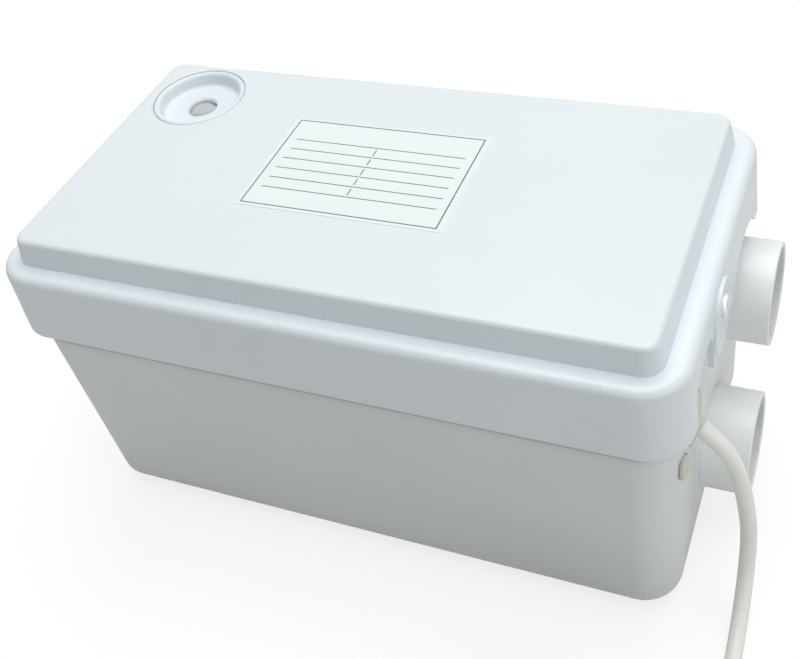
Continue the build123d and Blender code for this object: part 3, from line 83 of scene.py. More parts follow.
class Value(Link):
    """A number that varies over a surface; arithmetic on it adds its Math nodes."""

    def _maths(self, operation: str, first: Number, second: Number) -> "Value":
        """Adds one Math node and returns its result."""
        return self.graph.node("ShaderNodeMath", {"operation": operation}, {0: first, 1: second})

    def __add__(self, other: Number) -> "Value":
        """Sum."""
        return self._maths("ADD", self, other)

    def __radd__(self, other: Number) -> "Value":
        """Sum with a plain number on the left."""
        return self._maths("ADD", other, self)

    def __sub__(self, other: Number) -> "Value":
        """Difference."""
        return self._maths("SUBTRACT", self, other)

    def __rsub__(self, other: Number) -> "Value":
        """Difference with a plain number on the left."""
        return self._maths("SUBTRACT", other, self)

    def __mul__(self, other: Number) -> "Value":
        """Product."""
        return self._maths("MULTIPLY", self, other)

    def __rmul__(self, other: Number) -> "Value":
        """Product with a plain number on the left."""
        return self._maths("MULTIPLY", other, self)

    def __truediv__(self, other: Number) -> "Value":
        """Quotient."""
        return self._maths("DIVIDE", self, other)

    def __rtruediv__(self, other: Number) -> "Value":
        """Quotient with a plain number on the left."""
        return self._maths("DIVIDE", other, self)

    def __abs__(self) -> "Value":
        """Distance from zero."""
        return self._maths("ABSOLUTE", self, 0.0)

    def most(self, other: Number) -> "Value":
        """The larger of two numbers."""
        return self._maths("MAXIMUM", self, other)

    def nearest(self) -> "Value":
        """The nearest whole number."""
        return self._maths("ROUND", self, 0.0)

    def wave(self) -> "Value":
        """The sine of an angle in radians."""
        return self._maths("SINE", self, 0.0)

    def rise(self, low: float, high: float) -> "Value":
        """A smooth step.

        Args:
            low: where the result is still 0.
            high: where it has reached 1; below low, the step falls.

        Returns:
            The step, from 0 to 1.
        """
        if high < low:
            return 1.0 - self.rise(high, low)
        settings = {"interpolation_type": "SMOOTHSTEP", "clamp": True}
        span = {"Value": self, "From Min": low, "From Max": high}
        return self.graph.node("ShaderNodeMapRange", settings, span)


class Graph:
    """The nodes of one material."""

    def __init__(self, name: str) -> None:
        """Makes the material with its output and its main shader."""
        self.material = bpy.data.materials.new(name)
        self.material.use_nodes = True
        self.tree = self.material.node_tree
        self.tree.nodes.clear()
        self.output = self.tree.nodes.new("ShaderNodeOutputMaterial")
        self.shader = self.tree.nodes.new("ShaderNodeBsdfPrincipled")
        self.tree.links.new(self.shader.outputs[0], self.output.inputs[0])

    def node(
        self, kind: str, settings: Settings, sockets: Sockets, out: Union[int, str] = 0
    ) -> Union[Value, Link]:
        """Adds a node.

        Args:
            kind: the node's type.
            settings: its own settings.
            sockets: values or links for its inputs, by name or number.
            out: the output that is wanted.

        Returns:
            The output, as a Value where it is a number and a Link otherwise.
        """
        made = self.tree.nodes.new(kind)
        for name, setting in settings.items():
            setattr(made, name, setting)
        self.fill(made, sockets)
        socket = made.outputs[out]
        return (Value if socket.type == "VALUE" else Link)(self, socket)

    def fill(self, made: bpy.types.Node, sockets: Sockets) -> None:
        """Sets or links a node's inputs."""
        for name, given in sockets.items():
            if isinstance(given, Link):
                self.tree.links.new(given.socket, made.inputs[name])
            elif isinstance(given, tuple) and len(given) == 3 and made.inputs[name].type == "RGBA":
                made.inputs[name].default_value = (*given, 1.0)
            else:
                made.inputs[name].default_value = given

    def place(self, centre: Point = (0, 0, 0), stretch: Point = (1, 1, 1)) -> Link:
        """A point's place on the object.

        Args:
            centre: the point that becomes the pattern's middle.
            stretch: how much the pattern is squeezed along each axis.

        Returns:
            The mapped place.
        """
        here = self.node("ShaderNodeTexCoord", {}, {}, "Object")
        if centre == (0, 0, 0) and stretch == (1, 1, 1):
            return here
        moved = tuple(-c * s for c, s in zip(centre, stretch))
        return self.node("ShaderNodeMapping", {}, {"Vector": here, "Location": moved, "Scale": stretch})

    def parts(self, vector: Link) -> tuple[Value, Value, Value]:
        """The three numbers of a vector."""
        first = self.node("ShaderNodeSeparateXYZ", {}, {"Vector": vector}, 0)
        outputs = first.socket.node.outputs
        return first, Value(self, outputs[1]), Value(self, outputs[2])

    def noise(
        self, size: float, detail: float = 2.0, at: Union[Link, None] = None, rough: float = 0.5
    ) -> Value:
        """Soft noise.

        Args:
            size: the size of its blotches, in metres.
            detail: how many finer layers it has.
            at: where it is read, or None for the place on the object.
            rough: how strong the finer layers are.

        Returns:
            The noise, about 0.5 on average.
        """
        sockets = {"Vector": at or self.place(), "Scale": 1 / size, "Detail": detail, "Roughness": rough}
        return self.node("ShaderNodeTexNoise", {}, sockets)

    def cells(self, size: float, at: Union[Link, None] = None) -> Value:
        """The distance to the nearest of scattered points, in cell sizes."""
        sockets = {"Vector": at or self.place(), "Scale": 1 / size}
        return self.node("ShaderNodeTexVoronoi", {}, sockets, "Distance")

    def blend(self, share: Number, first: Union[Link, Colour], second: Union[Link, Colour]) -> Link:
        """Mixes two colours by a share of the second."""
        mixed = self.node("ShaderNodeMix", {"data_type": "RGBA"}, {0: share}, 2)
        self.fill(mixed.socket.node, {6: first, 7: second})
        return mixed

    def relief(self, height: Value, depth: float, under: Union[Link, None] = None) -> Link:
        """A bump of a given depth in metres, on top of another one."""
        sockets = {"Height": height, "Distance": depth, "Strength": 1.0}
        if under is not None:
            sockets["Normal"] = under
        return self.node("ShaderNodeBump", {}, sockets, "Normal")

    def surface(self, **sockets: Union[Number, Link, Colour]) -> bpy.types.Material:
        """Fills the main shader's inputs, named with underscores for spaces, and returns the material."""
        self.fill(self.shader, {name.replace("_", " "): given for name, given in sockets.items()})
        return self.material


# ---- Finishes


@dataclass(frozen=True)
class Finish:
    """One finish of the object's surfaces."""

    name: str
    made: ClassVar[dict[str, bpy.types.Material]] = {}

    def material(self) -> bpy.types.Material:
        """The finish's material, made once."""
        if self.name not in self.made:
            self.made[self.name] = self.build(Graph(self.name))
        return self.made[self.name]

    def build(self, graph: Graph) -> bpy.types.Material:
        """Makes the material's nodes."""
        raise NotImplementedError


@dataclass(frozen=True)
class Moulded(Finish):
    """Moulded plastic: a spark-eroded grain, slow sink waves, faint flow clouds and rubbed patches.

    Where lid_line is set, the piece also gets a painted shadow line under its lid's edge and patchy darkening
    by the floor.
    """

    colour: Colour = (0.8, 0.8, 0.8)
    shade: Colour = (0.7, 0.7, 0.7)
    roughness: float = 0.36
    grain: float = 0.0006
    depth: float = 0.00002
    cloud: float = 0.07
    patch: float = 0.018
    sink: float = 0.045
    sink_depth: float = 0.00006
    speck: float = 0.009
    specks: float = 0.0
    coat: float = 0.0
    # The lid fields below paint a shadow under the lid's edge: a soft band and a sharp dark line, faded out
    # near the ends.
    lid_line: float = 0.0
    lid_end: float = 0.0
    lid_covers: float = 0.0068
    lid_shadow: float = 0.0057
    shadow_line_width: float = 0.001
    corner: float = 0.0015
    foot: float = 0.0
    sole: float = 0.001
    foot_patch: float = 0.02

    def marks(self, graph: Graph) -> Value:
        """The painted shadow under the lid's edge and the patchy darkening by the floor, from 0 to 1."""
        along, _, height = graph.parts(graph.place())
        foot_patches = graph.noise(self.foot_patch, 4, graph.place(stretch=(1, 1, 3)), 0.6)
        # Painted shadow: a soft band and a sharp dark line just below the part of the tank that the lid's
        # edge hides.
        edge = self.lid_line - self.lid_covers
        soft = height.rise(edge - self.lid_shadow, edge) * 0.2
        sharp = height.rise(edge - self.shadow_line_width, edge) * 0.7
        painted_lid_shadow = (soft + sharp) * abs(along).rise(self.lid_end, self.lid_end - self.corner)
        # Darker in patches near the floor.
        by_floor = height.rise(self.foot, self.sole) * foot_patches.rise(0.35, 0.7) * 0.25
        return painted_lid_shadow.most(by_floor)

    def build(self, graph: Graph) -> bpy.types.Material:
        """Makes the material's nodes."""
        clouds = graph.noise(self.cloud, 3).rise(0.3, 0.75)
        rubbed = graph.noise(self.patch, 4, rough=0.62).rise(0.52, 0.74)
        fine = graph.noise(self.grain, 2)
        slow = graph.noise(self.sink, 1)
        colour = graph.blend(clouds * 0.5 + rubbed * 0.18, self.colour, self.shade)
        if self.specks:
            dust = graph.cells(self.speck).rise(0.045, 0.02) * graph.noise(0.03, 1).rise(0.5, 0.6)
            colour = graph.blend(dust * self.specks, colour, tuple(0.45 * c for c in self.colour))
        roughness = clouds * 0.05 + rubbed * 0.07 + fine * 0.06 + (self.roughness - 0.07)
        if self.lid_line:
            # The painted shadow under the lid's edge and the patchy darkening near the floor are blended into
            # the colour.
            marks = self.marks(graph)
            colour = graph.blend(marks, colour, tuple(0.62 * c for c in self.shade))
            roughness = roughness + marks * 0.2
        normal = graph.relief(fine, self.depth, graph.relief(slow, self.sink_depth))
        return graph.surface(
            Base_Color=colour, Roughness=roughness, Normal=normal, Coat_Weight=self.coat, Coat_Roughness=0.25
        )


@dataclass(frozen=True)
class RuledPaper(Finish):
    """A white paper label with a thin printed frame and two columns of ruled lines, all left empty."""

    centre: Point = (0, 0, 0)
    paper: Colour = (0.86, 0.92, 0.925)
    ink: Colour = (0.055, 0.06, 0.065)
    frame_half: tuple[float, float] = (0.0448, 0.0292)
    frame_middle: tuple[float, float] = (-0.0004, 0.0002)
    frame_width: float = 0.00055
    rule_span: tuple[float, float] = (-0.0408, 0.0403)
    first_rule: float = -0.01785
    rule_pitch: float = 0.00669
    rules: int = 6
    rule_width: float = 0.00048
    divider: float = -0.00055
    bleed: float = 0.00006
    fibre: float = 0.0009
    cloud: float = 0.03
    grit: float = 0.0004

    def build(self, graph: Graph) -> bpy.types.Material:
        """Makes the material's nodes."""
        across, up, _ = graph.parts(graph.place(self.centre))
        soft = self.bleed
        frame_line, rule_line = self.frame_width / 2, self.rule_width / 2
        beyond_x = abs(across - self.frame_middle[0]) - self.frame_half[0]
        beyond_y = abs(up - self.frame_middle[1]) - self.frame_half[1]
        border = abs(beyond_x.most(beyond_y)).rise(frame_line + soft, frame_line - soft)
        step = (up - self.first_rule) / self.rule_pitch
        off_rule = abs(step - step.nearest())
        middle, half = sum(self.rule_span) / 2, (self.rule_span[1] - self.rule_span[0]) / 2
        last = self.rules - 1
        in_columns = abs(across - middle).rise(half + soft, half - soft)
        in_rules = abs(step - last / 2).rise(last / 2 + 0.12, last / 2 + 0.1)
        width = rule_line / self.rule_pitch
        rule = off_rule.rise(width + 0.01, width - 0.01) * in_columns * in_rules
        upright = abs(across - self.divider).rise(rule_line + soft, rule_line - soft)
        upright = upright * off_rule.rise(0.18, 0.2) * abs(step - last / 2).rise(last / 2 + 0.02, last / 2)
        print_gaps = graph.noise(self.grit, 2).rise(0.2, 0.5) * 0.15 + 0.85
        ink = border.most(rule).most(upright) * print_gaps
        fibres = graph.noise(self.fibre, 4, graph.place(self.centre, (1, 2.5, 1)), 0.7)
        tone = graph.noise(self.cloud, 2).rise(0.3, 0.8)
        paper = graph.blend(tone * 0.4 + fibres * 0.15, self.paper, tuple(0.95 * c for c in self.paper))
        roughness = fibres * 0.12 + ink * -0.1 + 0.46
        printed = graph.blend(ink, paper, self.ink)
        return graph.surface(Base_Color=printed, Roughness=roughness, Normal=graph.relief(fibres, 0.00001))


@dataclass(frozen=True)
class Rubber(Finish):
    """Moulded rubber: a fine dry skin with dusty patches and a few scuffs."""

    colour: Colour = (0.03, 0.03, 0.032)
    dust: Colour = (0.12, 0.12, 0.118)
    roughness: float = 0.72
    grain: float = 0.0008
    patch: float = 0.012
    scuff: float = 0.004

    def build(self, graph: Graph) -> bpy.types.Material:
        """Makes the material's nodes."""
        dusty = graph.noise(self.patch, 5, rough=0.6).rise(0.42, 0.75)
        fine = graph.noise(self.grain, 3)
        scuffs = graph.noise(self.scuff, 3, graph.place(stretch=(1, 6, 1))).rise(0.62, 0.75)
        colour = graph.blend(dusty * 0.35 + scuffs * 0.25, self.colour, self.dust)
        roughness = dusty * 0.12 - scuffs * 0.08 + fine * 0.08 + (self.roughness - 0.06)
        return graph.surface(Base_Color=colour, Roughness=roughness, Normal=graph.relief(fine, 0.00003))


@dataclass(frozen=True)
class Sheath(Finish):
    """A lead's plastic sheath: drawn streaks along it, handling marks and a slightly wavy skin."""

    colour: Colour = (0.93, 0.945, 0.885)
    mark: Colour = (0.84, 0.85, 0.79)
    grain: float = 0.0011
    patch: float = 0.011
    streaks: Point = (2.0, 40.0, 1.0)

    def build(self, graph: Graph) -> bpy.types.Material:
        """Makes the material's nodes."""
        along = graph.node("ShaderNodeTexCoord", {}, {}, "UV")
        streaks = graph.node("ShaderNodeMapping", {}, {"Vector": along, "Scale": self.streaks})
        drawn = graph.node("ShaderNodeTexNoise", {}, {"Vector": streaks, "Scale": 1.0, "Detail": 3.0})
        marks = graph.noise(self.patch, 4, rough=0.6).rise(0.45, 0.75)
        skin = graph.noise(self.grain, 2)
        colour = graph.blend(marks * 0.45 + drawn * 0.2, self.colour, self.mark)
        roughness = marks * 0.1 + skin * 0.08 + 0.34
        normal = graph.relief(skin, 0.00002, graph.relief(drawn, 0.00003))
        return graph.surface(Base_Color=colour, Roughness=roughness, Normal=normal)


@dataclass(frozen=True)
class BrushedMetal(Finish):
    """Metal with fine lines along or around one axis, and faint stains."""

    colour: Colour = (0.62, 0.63, 0.64)
    stain: Colour = (0.45, 0.44, 0.42)
    axis: Axis = Axis.Z
    roughness: float = 0.3
    line: float = 0.0003
    patch: float = 0.006

    def build(self, graph: Graph) -> bpy.types.Material:
        """Makes the material's nodes."""
        stretch = tuple(0.06 if axis is self.axis else 1.0 for axis in Axis)
        lines = graph.noise(self.line, 3, graph.place(stretch=stretch))
        stains = graph.noise(self.patch, 4, rough=0.62).rise(0.5, 0.78)
        colour = graph.blend(stains * 0.5 + lines * 0.12, self.colour, self.stain)
        roughness = lines * 0.16 + stains * 0.14 + (self.roughness - 0.08)
        return graph.surface(
            Base_Color=colour, Roughness=roughness, Metallic=1.0, Normal=graph.relief(lines, 0.000008)
        )


@dataclass(frozen=True)
class PaintedMetal(Finish):
    """Sprayed paint on metal, with orange peel and small chips."""

    colour: Colour = (0.05, 0.055, 0.06)
    chip: Colour = (0.3, 0.3, 0.3)
    grain: float = 0.0016
    chip_gap: float = 0.013
    patch: float = 0.03

    def build(self, graph: Graph) -> bpy.types.Material:
        """Makes the material's nodes."""
        peel = graph.noise(self.grain, 2)
        chips = graph.cells(self.chip_gap).rise(0.07, 0.05) * graph.noise(0.02, 2).rise(0.5, 0.58)
        dusty = graph.noise(self.patch, 4).rise(0.4, 0.8)
        colour = graph.blend(dusty * 0.2, self.colour, tuple(3 * c for c in self.colour))
        colour = graph.blend(chips, colour, self.chip)
        roughness = peel * 0.1 + dusty * 0.12 + chips * 0.15 + 0.3
        return graph.surface(Base_Color=colour, Roughness=roughness, Normal=graph.relief(peel, 0.00004))


@dataclass(frozen=True)
class Laminations(Finish):
    """A stack of thin steel sheets, one line each, with a little rust."""

    sheet: float = 0.0006
    steel: Colour = (0.25, 0.25, 0.255)
    rust: Colour = (0.2, 0.11, 0.06)
    seam: Colour = (0.05, 0.05, 0.05)
    patch: float = 0.005

    def build(self, graph: Graph) -> bpy.types.Material:
        """Makes the material's nodes."""
        _, _, height = graph.parts(graph.place())
        step = height / self.sheet
        sheets = abs(step - step.nearest()).rise(0.5, 0.38)
        rusty = graph.noise(self.patch, 5, rough=0.65).rise(0.55, 0.75)
        colour = graph.blend(rusty * 0.5, self.steel, self.rust)
        colour = graph.blend(1.0 - sheets, colour, self.seam)
        roughness = rusty * 0.3 + sheets * 0.1 + 0.35
        metal, normal = 1.0 - rusty * 0.8, graph.relief(sheets, 0.00008)
        return graph.surface(Base_Color=colour, Roughness=roughness, Metallic=metal, Normal=normal)


@dataclass(frozen=True)
class WoundCopper(Finish):
    """Enamelled wire laid round an upright axis, under brown varnish."""

    centre: Point = (-0.01, 0, 0)
    wire: float = 0.0011
    wire_colour: Colour = (0.62, 0.26, 0.1)
    gap: Colour = (0.22, 0.07, 0.025)
    varnish: Colour = (0.16, 0.06, 0.02)
    wobble: float = 0.012
    patch: float = 0.008

    def build(self, graph: Graph) -> bpy.types.Material:
        """Makes the material's nodes."""
        _, _, height = graph.parts(graph.place(self.centre))
        wander = graph.noise(self.wobble, 2) * 2.4
        turns = (height * (math.tau / self.wire) + wander).wave() * 0.5 + 0.5
        thick = graph.noise(self.patch, 3).rise(0.4, 0.75)
        colour = graph.blend(turns, self.gap, self.wire_colour)
        colour = graph.blend(thick * 0.5, colour, self.varnish)
        roughness, normal = thick * 0.2 + 0.28, graph.relief(turns, 0.0002)
        return graph.surface(Base_Color=colour, Roughness=roughness, Metallic=0.7, Normal=normal)


@dataclass(frozen=True)
class Fleece(Finish):
    """A pad of matted pale fibres."""

    colour: Colour = (0.7, 0.715, 0.725)
    shadow: Colour = (0.4, 0.41, 0.41)
    fibre: float = 0.0007
    clump: float = 0.004

    def build(self, graph: Graph) -> bpy.types.Material:
        """Makes the material's nodes."""
        fibres = graph.noise(self.fibre, 5, graph.place(stretch=(1, 1.8, 1)), 0.75)
        clumps = graph.noise(self.clump, 3).rise(0.35, 0.7)
        colour = graph.blend(fibres.rise(0.62, 0.38) * 0.6 + clumps * 0.2, self.colour, self.shadow)
        roughness, normal = fibres * 0.1 + 0.85, graph.relief(fibres, 0.0003)
        return graph.surface(Base_Color=colour, Roughness=roughness, Normal=normal, Sheen_Weight=0.3)


LID_WHITE = Moulded(
    "lid_plastic", colour=(0.806, 0.868, 0.905), shade=(0.77, 0.834, 0.872), roughness=0.36, specks=0.2
)
TANK_WHITE = Moulded(
    "tank_plastic",
    colour=(0.785, 0.822, 0.82),
    shade=(0.755, 0.79, 0.775),
    roughness=0.46,
    grain=0.0008,
    depth=0.00003,
    specks=0.25,
    # lid_line and lid_end place the painted shadow under the lid's edge.
    lid_line=0.113,
    lid_end=0.1455,
    foot=0.022,
)
SOCKET = Moulded(
    "socket_plastic", colour=(0.875, 0.905, 0.91), shade=(0.83, 0.86, 0.87), roughness=0.32, specks=0.1
)
PALE_RUBBER = Rubber("plug_rubber", colour=(0.68, 0.69, 0.6), dust=(0.6, 0.6, 0.52), roughness=0.55)
BLACK_RUBBER = Rubber("soft_black_rubber")
FLAP_RUBBER = Rubber("valve_rubber", colour=(0.1, 0.105, 0.11), dust=(0.2, 0.2, 0.2), roughness=0.5)
SHEATH = Sheath("cable_sheath")
PLUG_PLASTIC = Moulded(
    "plug_plastic",
    colour=(0.76, 0.775, 0.72),
    shade=(0.69, 0.7, 0.64),
    roughness=0.42,
    grain=0.0009,
    depth=0.00003,
)
TIE_PLASTIC = Moulded(
    "tie_plastic", colour=(0.7, 0.71, 0.7), shade=(0.62, 0.63, 0.62), roughness=0.4, grain=0.0005
)
STEEL = BrushedMetal("turned_steel")
LONG_STEEL = BrushedMetal("drawn_steel", axis=Axis.X, roughness=0.26)
ZINC = BrushedMetal(
    "zinc_plate", colour=(0.82, 0.83, 0.84), stain=(0.68, 0.68, 0.67), axis=Axis.X, roughness=0.5
)
ALUMINIUM = BrushedMetal("turned_aluminium", colour=(0.66, 0.67, 0.68), roughness=0.36)
SPRING = BrushedMetal("spring_wire", colour=(0.55, 0.56, 0.58), stain=(0.35, 0.33, 0.3), roughness=0.34)
PAINT = PaintedMetal("motor_enamel")
STACK = Laminations("sheet_stack")
COPPER = WoundCopper("wound_copper")
BLACK_PLASTIC = Moulded(
    "black_plastic", colour=(0.03, 0.032, 0.035), shade=(0.055, 0.056, 0.058), roughness=0.5, depth=0.00004
)
GREY_PLASTIC = Moulded(
    "mid_grey_plastic", colour=(0.42, 0.43, 0.44), shade=(0.36, 0.37, 0.38), roughness=0.45, depth=0.00003
)
SWITCH_PLASTIC = Moulded(
    "phenolic", colour=(0.015, 0.015, 0.016), shade=(0.03, 0.03, 0.03), roughness=0.4, grain=0.0004
)
CAN = Moulded("can_plastic", colour=(0.7, 0.71, 0.72), shade=(0.66, 0.67, 0.68), roughness=0.3, coat=0.3)
FLEECE = Fleece("matted_fleece")
LABEL = RuledPaper("ruled_paper", centre=(-0.0033, 0.0038, 0))


# ---- Modelling by hand


def only(piece: Union[bpy.types.Object, None]) -> None:
    """Deselects everything, then selects one object and makes it active."""
    if bpy.context.mode != "OBJECT":
        bpy.ops.object.mode_set(mode="OBJECT")
    bpy.ops.object.select_all(action="DESELECT")
    if piece is not None:
        piece.select_set(True)
        bpy.context.view_layer.objects.active = piece


def unmark(piece: bpy.types.Object) -> bpy.types.Mesh:
    """Makes a piece active with nothing of its mesh selected, and returns the mesh."""
    only(piece)
    mesh = piece.data
    for group in (mesh.vertices, mesh.edges, mesh.polygons):
        for part in group:
            part.select = False
    return mesh


def pick_faces(piece: bpy.types.Object, test: Callable[[bpy.types.MeshPolygon], bool]) -> None:
    """Selects a piece's faces by their place or normal and leaves it in edit mode.

    Args:
        piece: the mesh object.
        test: says of each face whether it is selected.
    """
    for face in unmark(piece).polygons:
        face.select = bool(test(face))
    bpy.ops.object.mode_set(mode="EDIT")
    bpy.ops.mesh.select_mode(type="FACE")


def pick_edges(piece: bpy.types.Object, test: Callable[[Vector, Vector], bool]) -> None:
    """Selects a piece's edges by the places of their two ends and leaves it in edit mode.

    Args:
        piece: the mesh object.
        test: takes an edge's two ends and says whether it is selected.
    """
    mesh = unmark(piece)
    bpy.ops.object.mode_set(mode="EDIT")
    bpy.ops.mesh.select_mode(type="EDGE")
    bpy.ops.object.mode_set(mode="OBJECT")
    for edge in mesh.edges:
        first, second = (mesh.vertices[i].co for i in edge.vertices)
        edge.select = bool(test(first, second))
    bpy.ops.object.mode_set(mode="EDIT")


def inset_rings(rings: tuple[tuple[float, float], ...]) -> None:
    """Insets the selected faces again and again, by each thickness and depth."""
    for thickness, depth in rings:
        bpy.ops.mesh.inset(thickness=thickness, depth=depth)


def place_start(name: str) -> bpy.types.Object:
    """Names the new primitive, moves its place and turn into its mesh, and returns it."""
    piece = bpy.context.object
    only(piece)
    piece.name = piece.data.name = name
    bpy.ops.object.transform_apply(location=True, rotation=True, scale=True)
    return piece


def close_up(piece: bpy.types.Object, finish: Finish, node: str) -> bpy.types.Object:
    """Merges a piece's doubles, turns its faces outwards, dresses it and lets it stand for a node.

    Args:
        piece: the mesh object.
        finish: the finish that it gets.
        node: the frame's node that it replaces.

    Returns:
        The piece.
    """
    only(piece)
    bpy.ops.object.mode_set(mode="EDIT")
    bpy.ops.mesh.select_all(action="SELECT")
    bpy.ops.mesh.remove_doubles(threshold=MERGED)
    bpy.ops.mesh.normals_make_consistent(inside=False)
    bpy.ops.object.mode_set(mode="OBJECT")
    bpy.ops.object.shade_smooth_by_angle(angle=ROUNDED)
    piece.data.materials.clear()
    piece.data.materials.append(finish.material())
    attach(piece, "housing")
    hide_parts(node)
    log.info("%s: %s, %d faces", piece.name, finish.name, len(piece.data.polygons))
    return piece


def finish_with(piece: bpy.types.Object, kind: str, **settings: Union[int, float, str]) -> None:
    """Adds a modifier with its settings and applies it."""
    only(piece)
    modifier = piece.modifiers.new(kind.lower(), kind)
    for name, setting in settings.items():
        setattr(modifier, name, setting)
    bpy.ops.object.modifier_apply(modifier=modifier.name)


def dress(finish: Finish, *names: str) -> None:
    """Gives some of the frame's own nodes a finish."""
    for name in names:
        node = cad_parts[name]
        for slot in node.material_slots:
            slot.material = finish.material()
        if not node.material_slots:
            node.data.materials.append(finish.material())
        log.info("%s: %s", name, finish.name)


# ---- Sub-assemblies


@dataclass(frozen=True)
class Lamp:
    """A square soft lamp."""

    name: str
    place: Point
    size: float
    power: float

    def hang(self, aim: Point) -> None:
        """Hangs the lamp and points it at a place."""
        data = bpy.data.lights.new(self.name, "AREA")
        data.shape, data.size, data.energy = "SQUARE", self.size, self.power
        lamp = bpy.data.objects.new(self.name, data)
        bpy.context.scene.collection.objects.link(lamp)
        lamp.location = self.place
        lamp.rotation_euler = (Vector(aim) - Vector(self.place)).to_track_quat("-Z", "Y").to_euler()


@dataclass
class Studio:
    """Camera, floor, lamps and surroundings."""

    eye: Point = (0.205626, -0.323354, 0.444686)
    right: Point = (0.920632, 0.360612, -0.149655)
    up: Point = (-0.134941, 0.65357, 0.744739)
    lens: float = 50.904
    shift: tuple[float, float] = (-0.04875, -0.111875)
    sensor: float = 36.0
    clip: tuple[float, float] = (0.02, 50.0)
    floor_half: float = 4.0
    floor_drop: float = 0.0002
    floor_bounce: Colour = (0.8, 0.8, 0.8)
    floor_seen: Colour = (0.3, 0.3, 0.302)
    floor_glow: float = 0.75
    fade: tuple[float, float] = (0.5, 1.5)
    surround: float = 0.245
    aim: Point = (0, 0, 0.08)
    lamps: tuple[Lamp, ...] = (
        Lamp("overhead", (0.06, 0.5, 2.3), size=2.2, power=45.0),
        Lamp("right_side", (1.72, -0.72, 0.72), size=1.0, power=6.0),
    )

    def camera(self) -> None:
        """Places the camera at the photograph's angle."""
        data = bpy.data.cameras.new("photo_view")
        data.sensor_width, data.sensor_fit, data.lens = self.sensor, "HORIZONTAL", self.lens
        data.shift_x, data.shift_y = self.shift
        data.clip_start, data.clip_end = self.clip
        eye = bpy.data.objects.new("photo_view", data)
        bpy.context.scene.collection.objects.link(eye)
        right, up = Vector(self.right).normalized(), Vector(self.up).normalized()
        turn = Matrix((right, up, right.cross(up))).transposed()
        eye.matrix_world = Matrix.Translation(self.eye) @ turn.to_4x4()
        bpy.context.scene.camera = eye

    def floor(self) -> None:
        """Lays a pale floor, near white to the camera under the pump's shadow and plain white far off."""
        only(None)
        bpy.ops.mesh.primitive_plane_add(size=2 * self.floor_half, location=(0, 0, -self.floor_drop))
        floor = bpy.context.object
        floor.name = "studio_floor"
        graph = Graph("studio_floor")
        paper = graph.noise(0.5, 2)
        seen = graph.node("ShaderNodeLightPath", {}, {}, "Is Camera Ray")
        reach = graph.node("ShaderNodeVectorMath", {"operation": "LENGTH"}, {0: graph.place()}, "Value")
        far = reach.rise(*self.fade)
        bounce = graph.blend(paper * 0.1, self.floor_bounce, tuple(0.97 * c for c in self.floor_bounce))
        shown = graph.blend(far, self.floor_seen, (0.0, 0.0, 0.0))
        graph.surface(Base_Color=graph.blend(seen, bounce, shown), Roughness=0.9, Specular_IOR_Level=0.1)
        strength = seen * (far * (1.0 - self.floor_glow) + self.floor_glow)
        glow = graph.node("ShaderNodeEmission", {}, {"Color": (1.0, 1.0, 1.0), "Strength": strength})
        both = graph.node("ShaderNodeAddShader", {}, {0: Link(graph, graph.shader.outputs[0]), 1: glow})
        graph.fill(graph.output, {0: both})
        floor.data.materials.append(graph.material)

    def surroundings(self) -> None:
        """Lights the pump evenly from all round, with plain white behind it."""
        world = bpy.data.worlds.new("studio")
        bpy.context.scene.world = world
        world.use_nodes = True
        nodes, links = world.node_tree.nodes, world.node_tree.links
        nodes.clear()
        path, output = nodes.new("ShaderNodeLightPath"), nodes.new("ShaderNodeOutputWorld")
        share = path.outputs["Is Camera Ray"]
        for ray in ("Is Glossy Ray", "Is Transmission Ray"):
            either = nodes.new("ShaderNodeMath")
            either.operation, either.use_clamp = "ADD", True
            links.new(share, either.inputs[0])
            links.new(path.outputs[ray], either.inputs[1])
            share = either.outputs[0]
        mixed = nodes.new("ShaderNodeMixShader")
        links.new(share, mixed.inputs[0])
        for number, strength in enumerate((self.surround, 1.0), start=1):
            sky = nodes.new("ShaderNodeBackground")
            sky.inputs["Color"].default_value = (1.0, 1.0, 1.0, 1.0)
            sky.inputs["Strength"].default_value = strength
            links.new(sky.outputs[0], mixed.inputs[number])
        links.new(mixed.outputs[0], output.inputs[0])

    def build(self) -> None:
        """Makes the whole studio."""
        self.camera()
        self.surroundings()
        self.floor()
        for lamp in self.lamps:
            lamp.hang(self.aim)
        bpy.context.scene.view_settings.view_transform = "Standard"
        log.info("studio ready")


def outside(radius: float, half_step: float) -> float:
    """How far out guide points lie so that a smooth curve between them keeps to a circle.

    Args:
        radius: the circle's radius.
        half_step: half the angle between two guide points, in radians.

    Returns:
        The guide points' distance from the circle's middle.
    """
    return radius / math.cos(half_step)


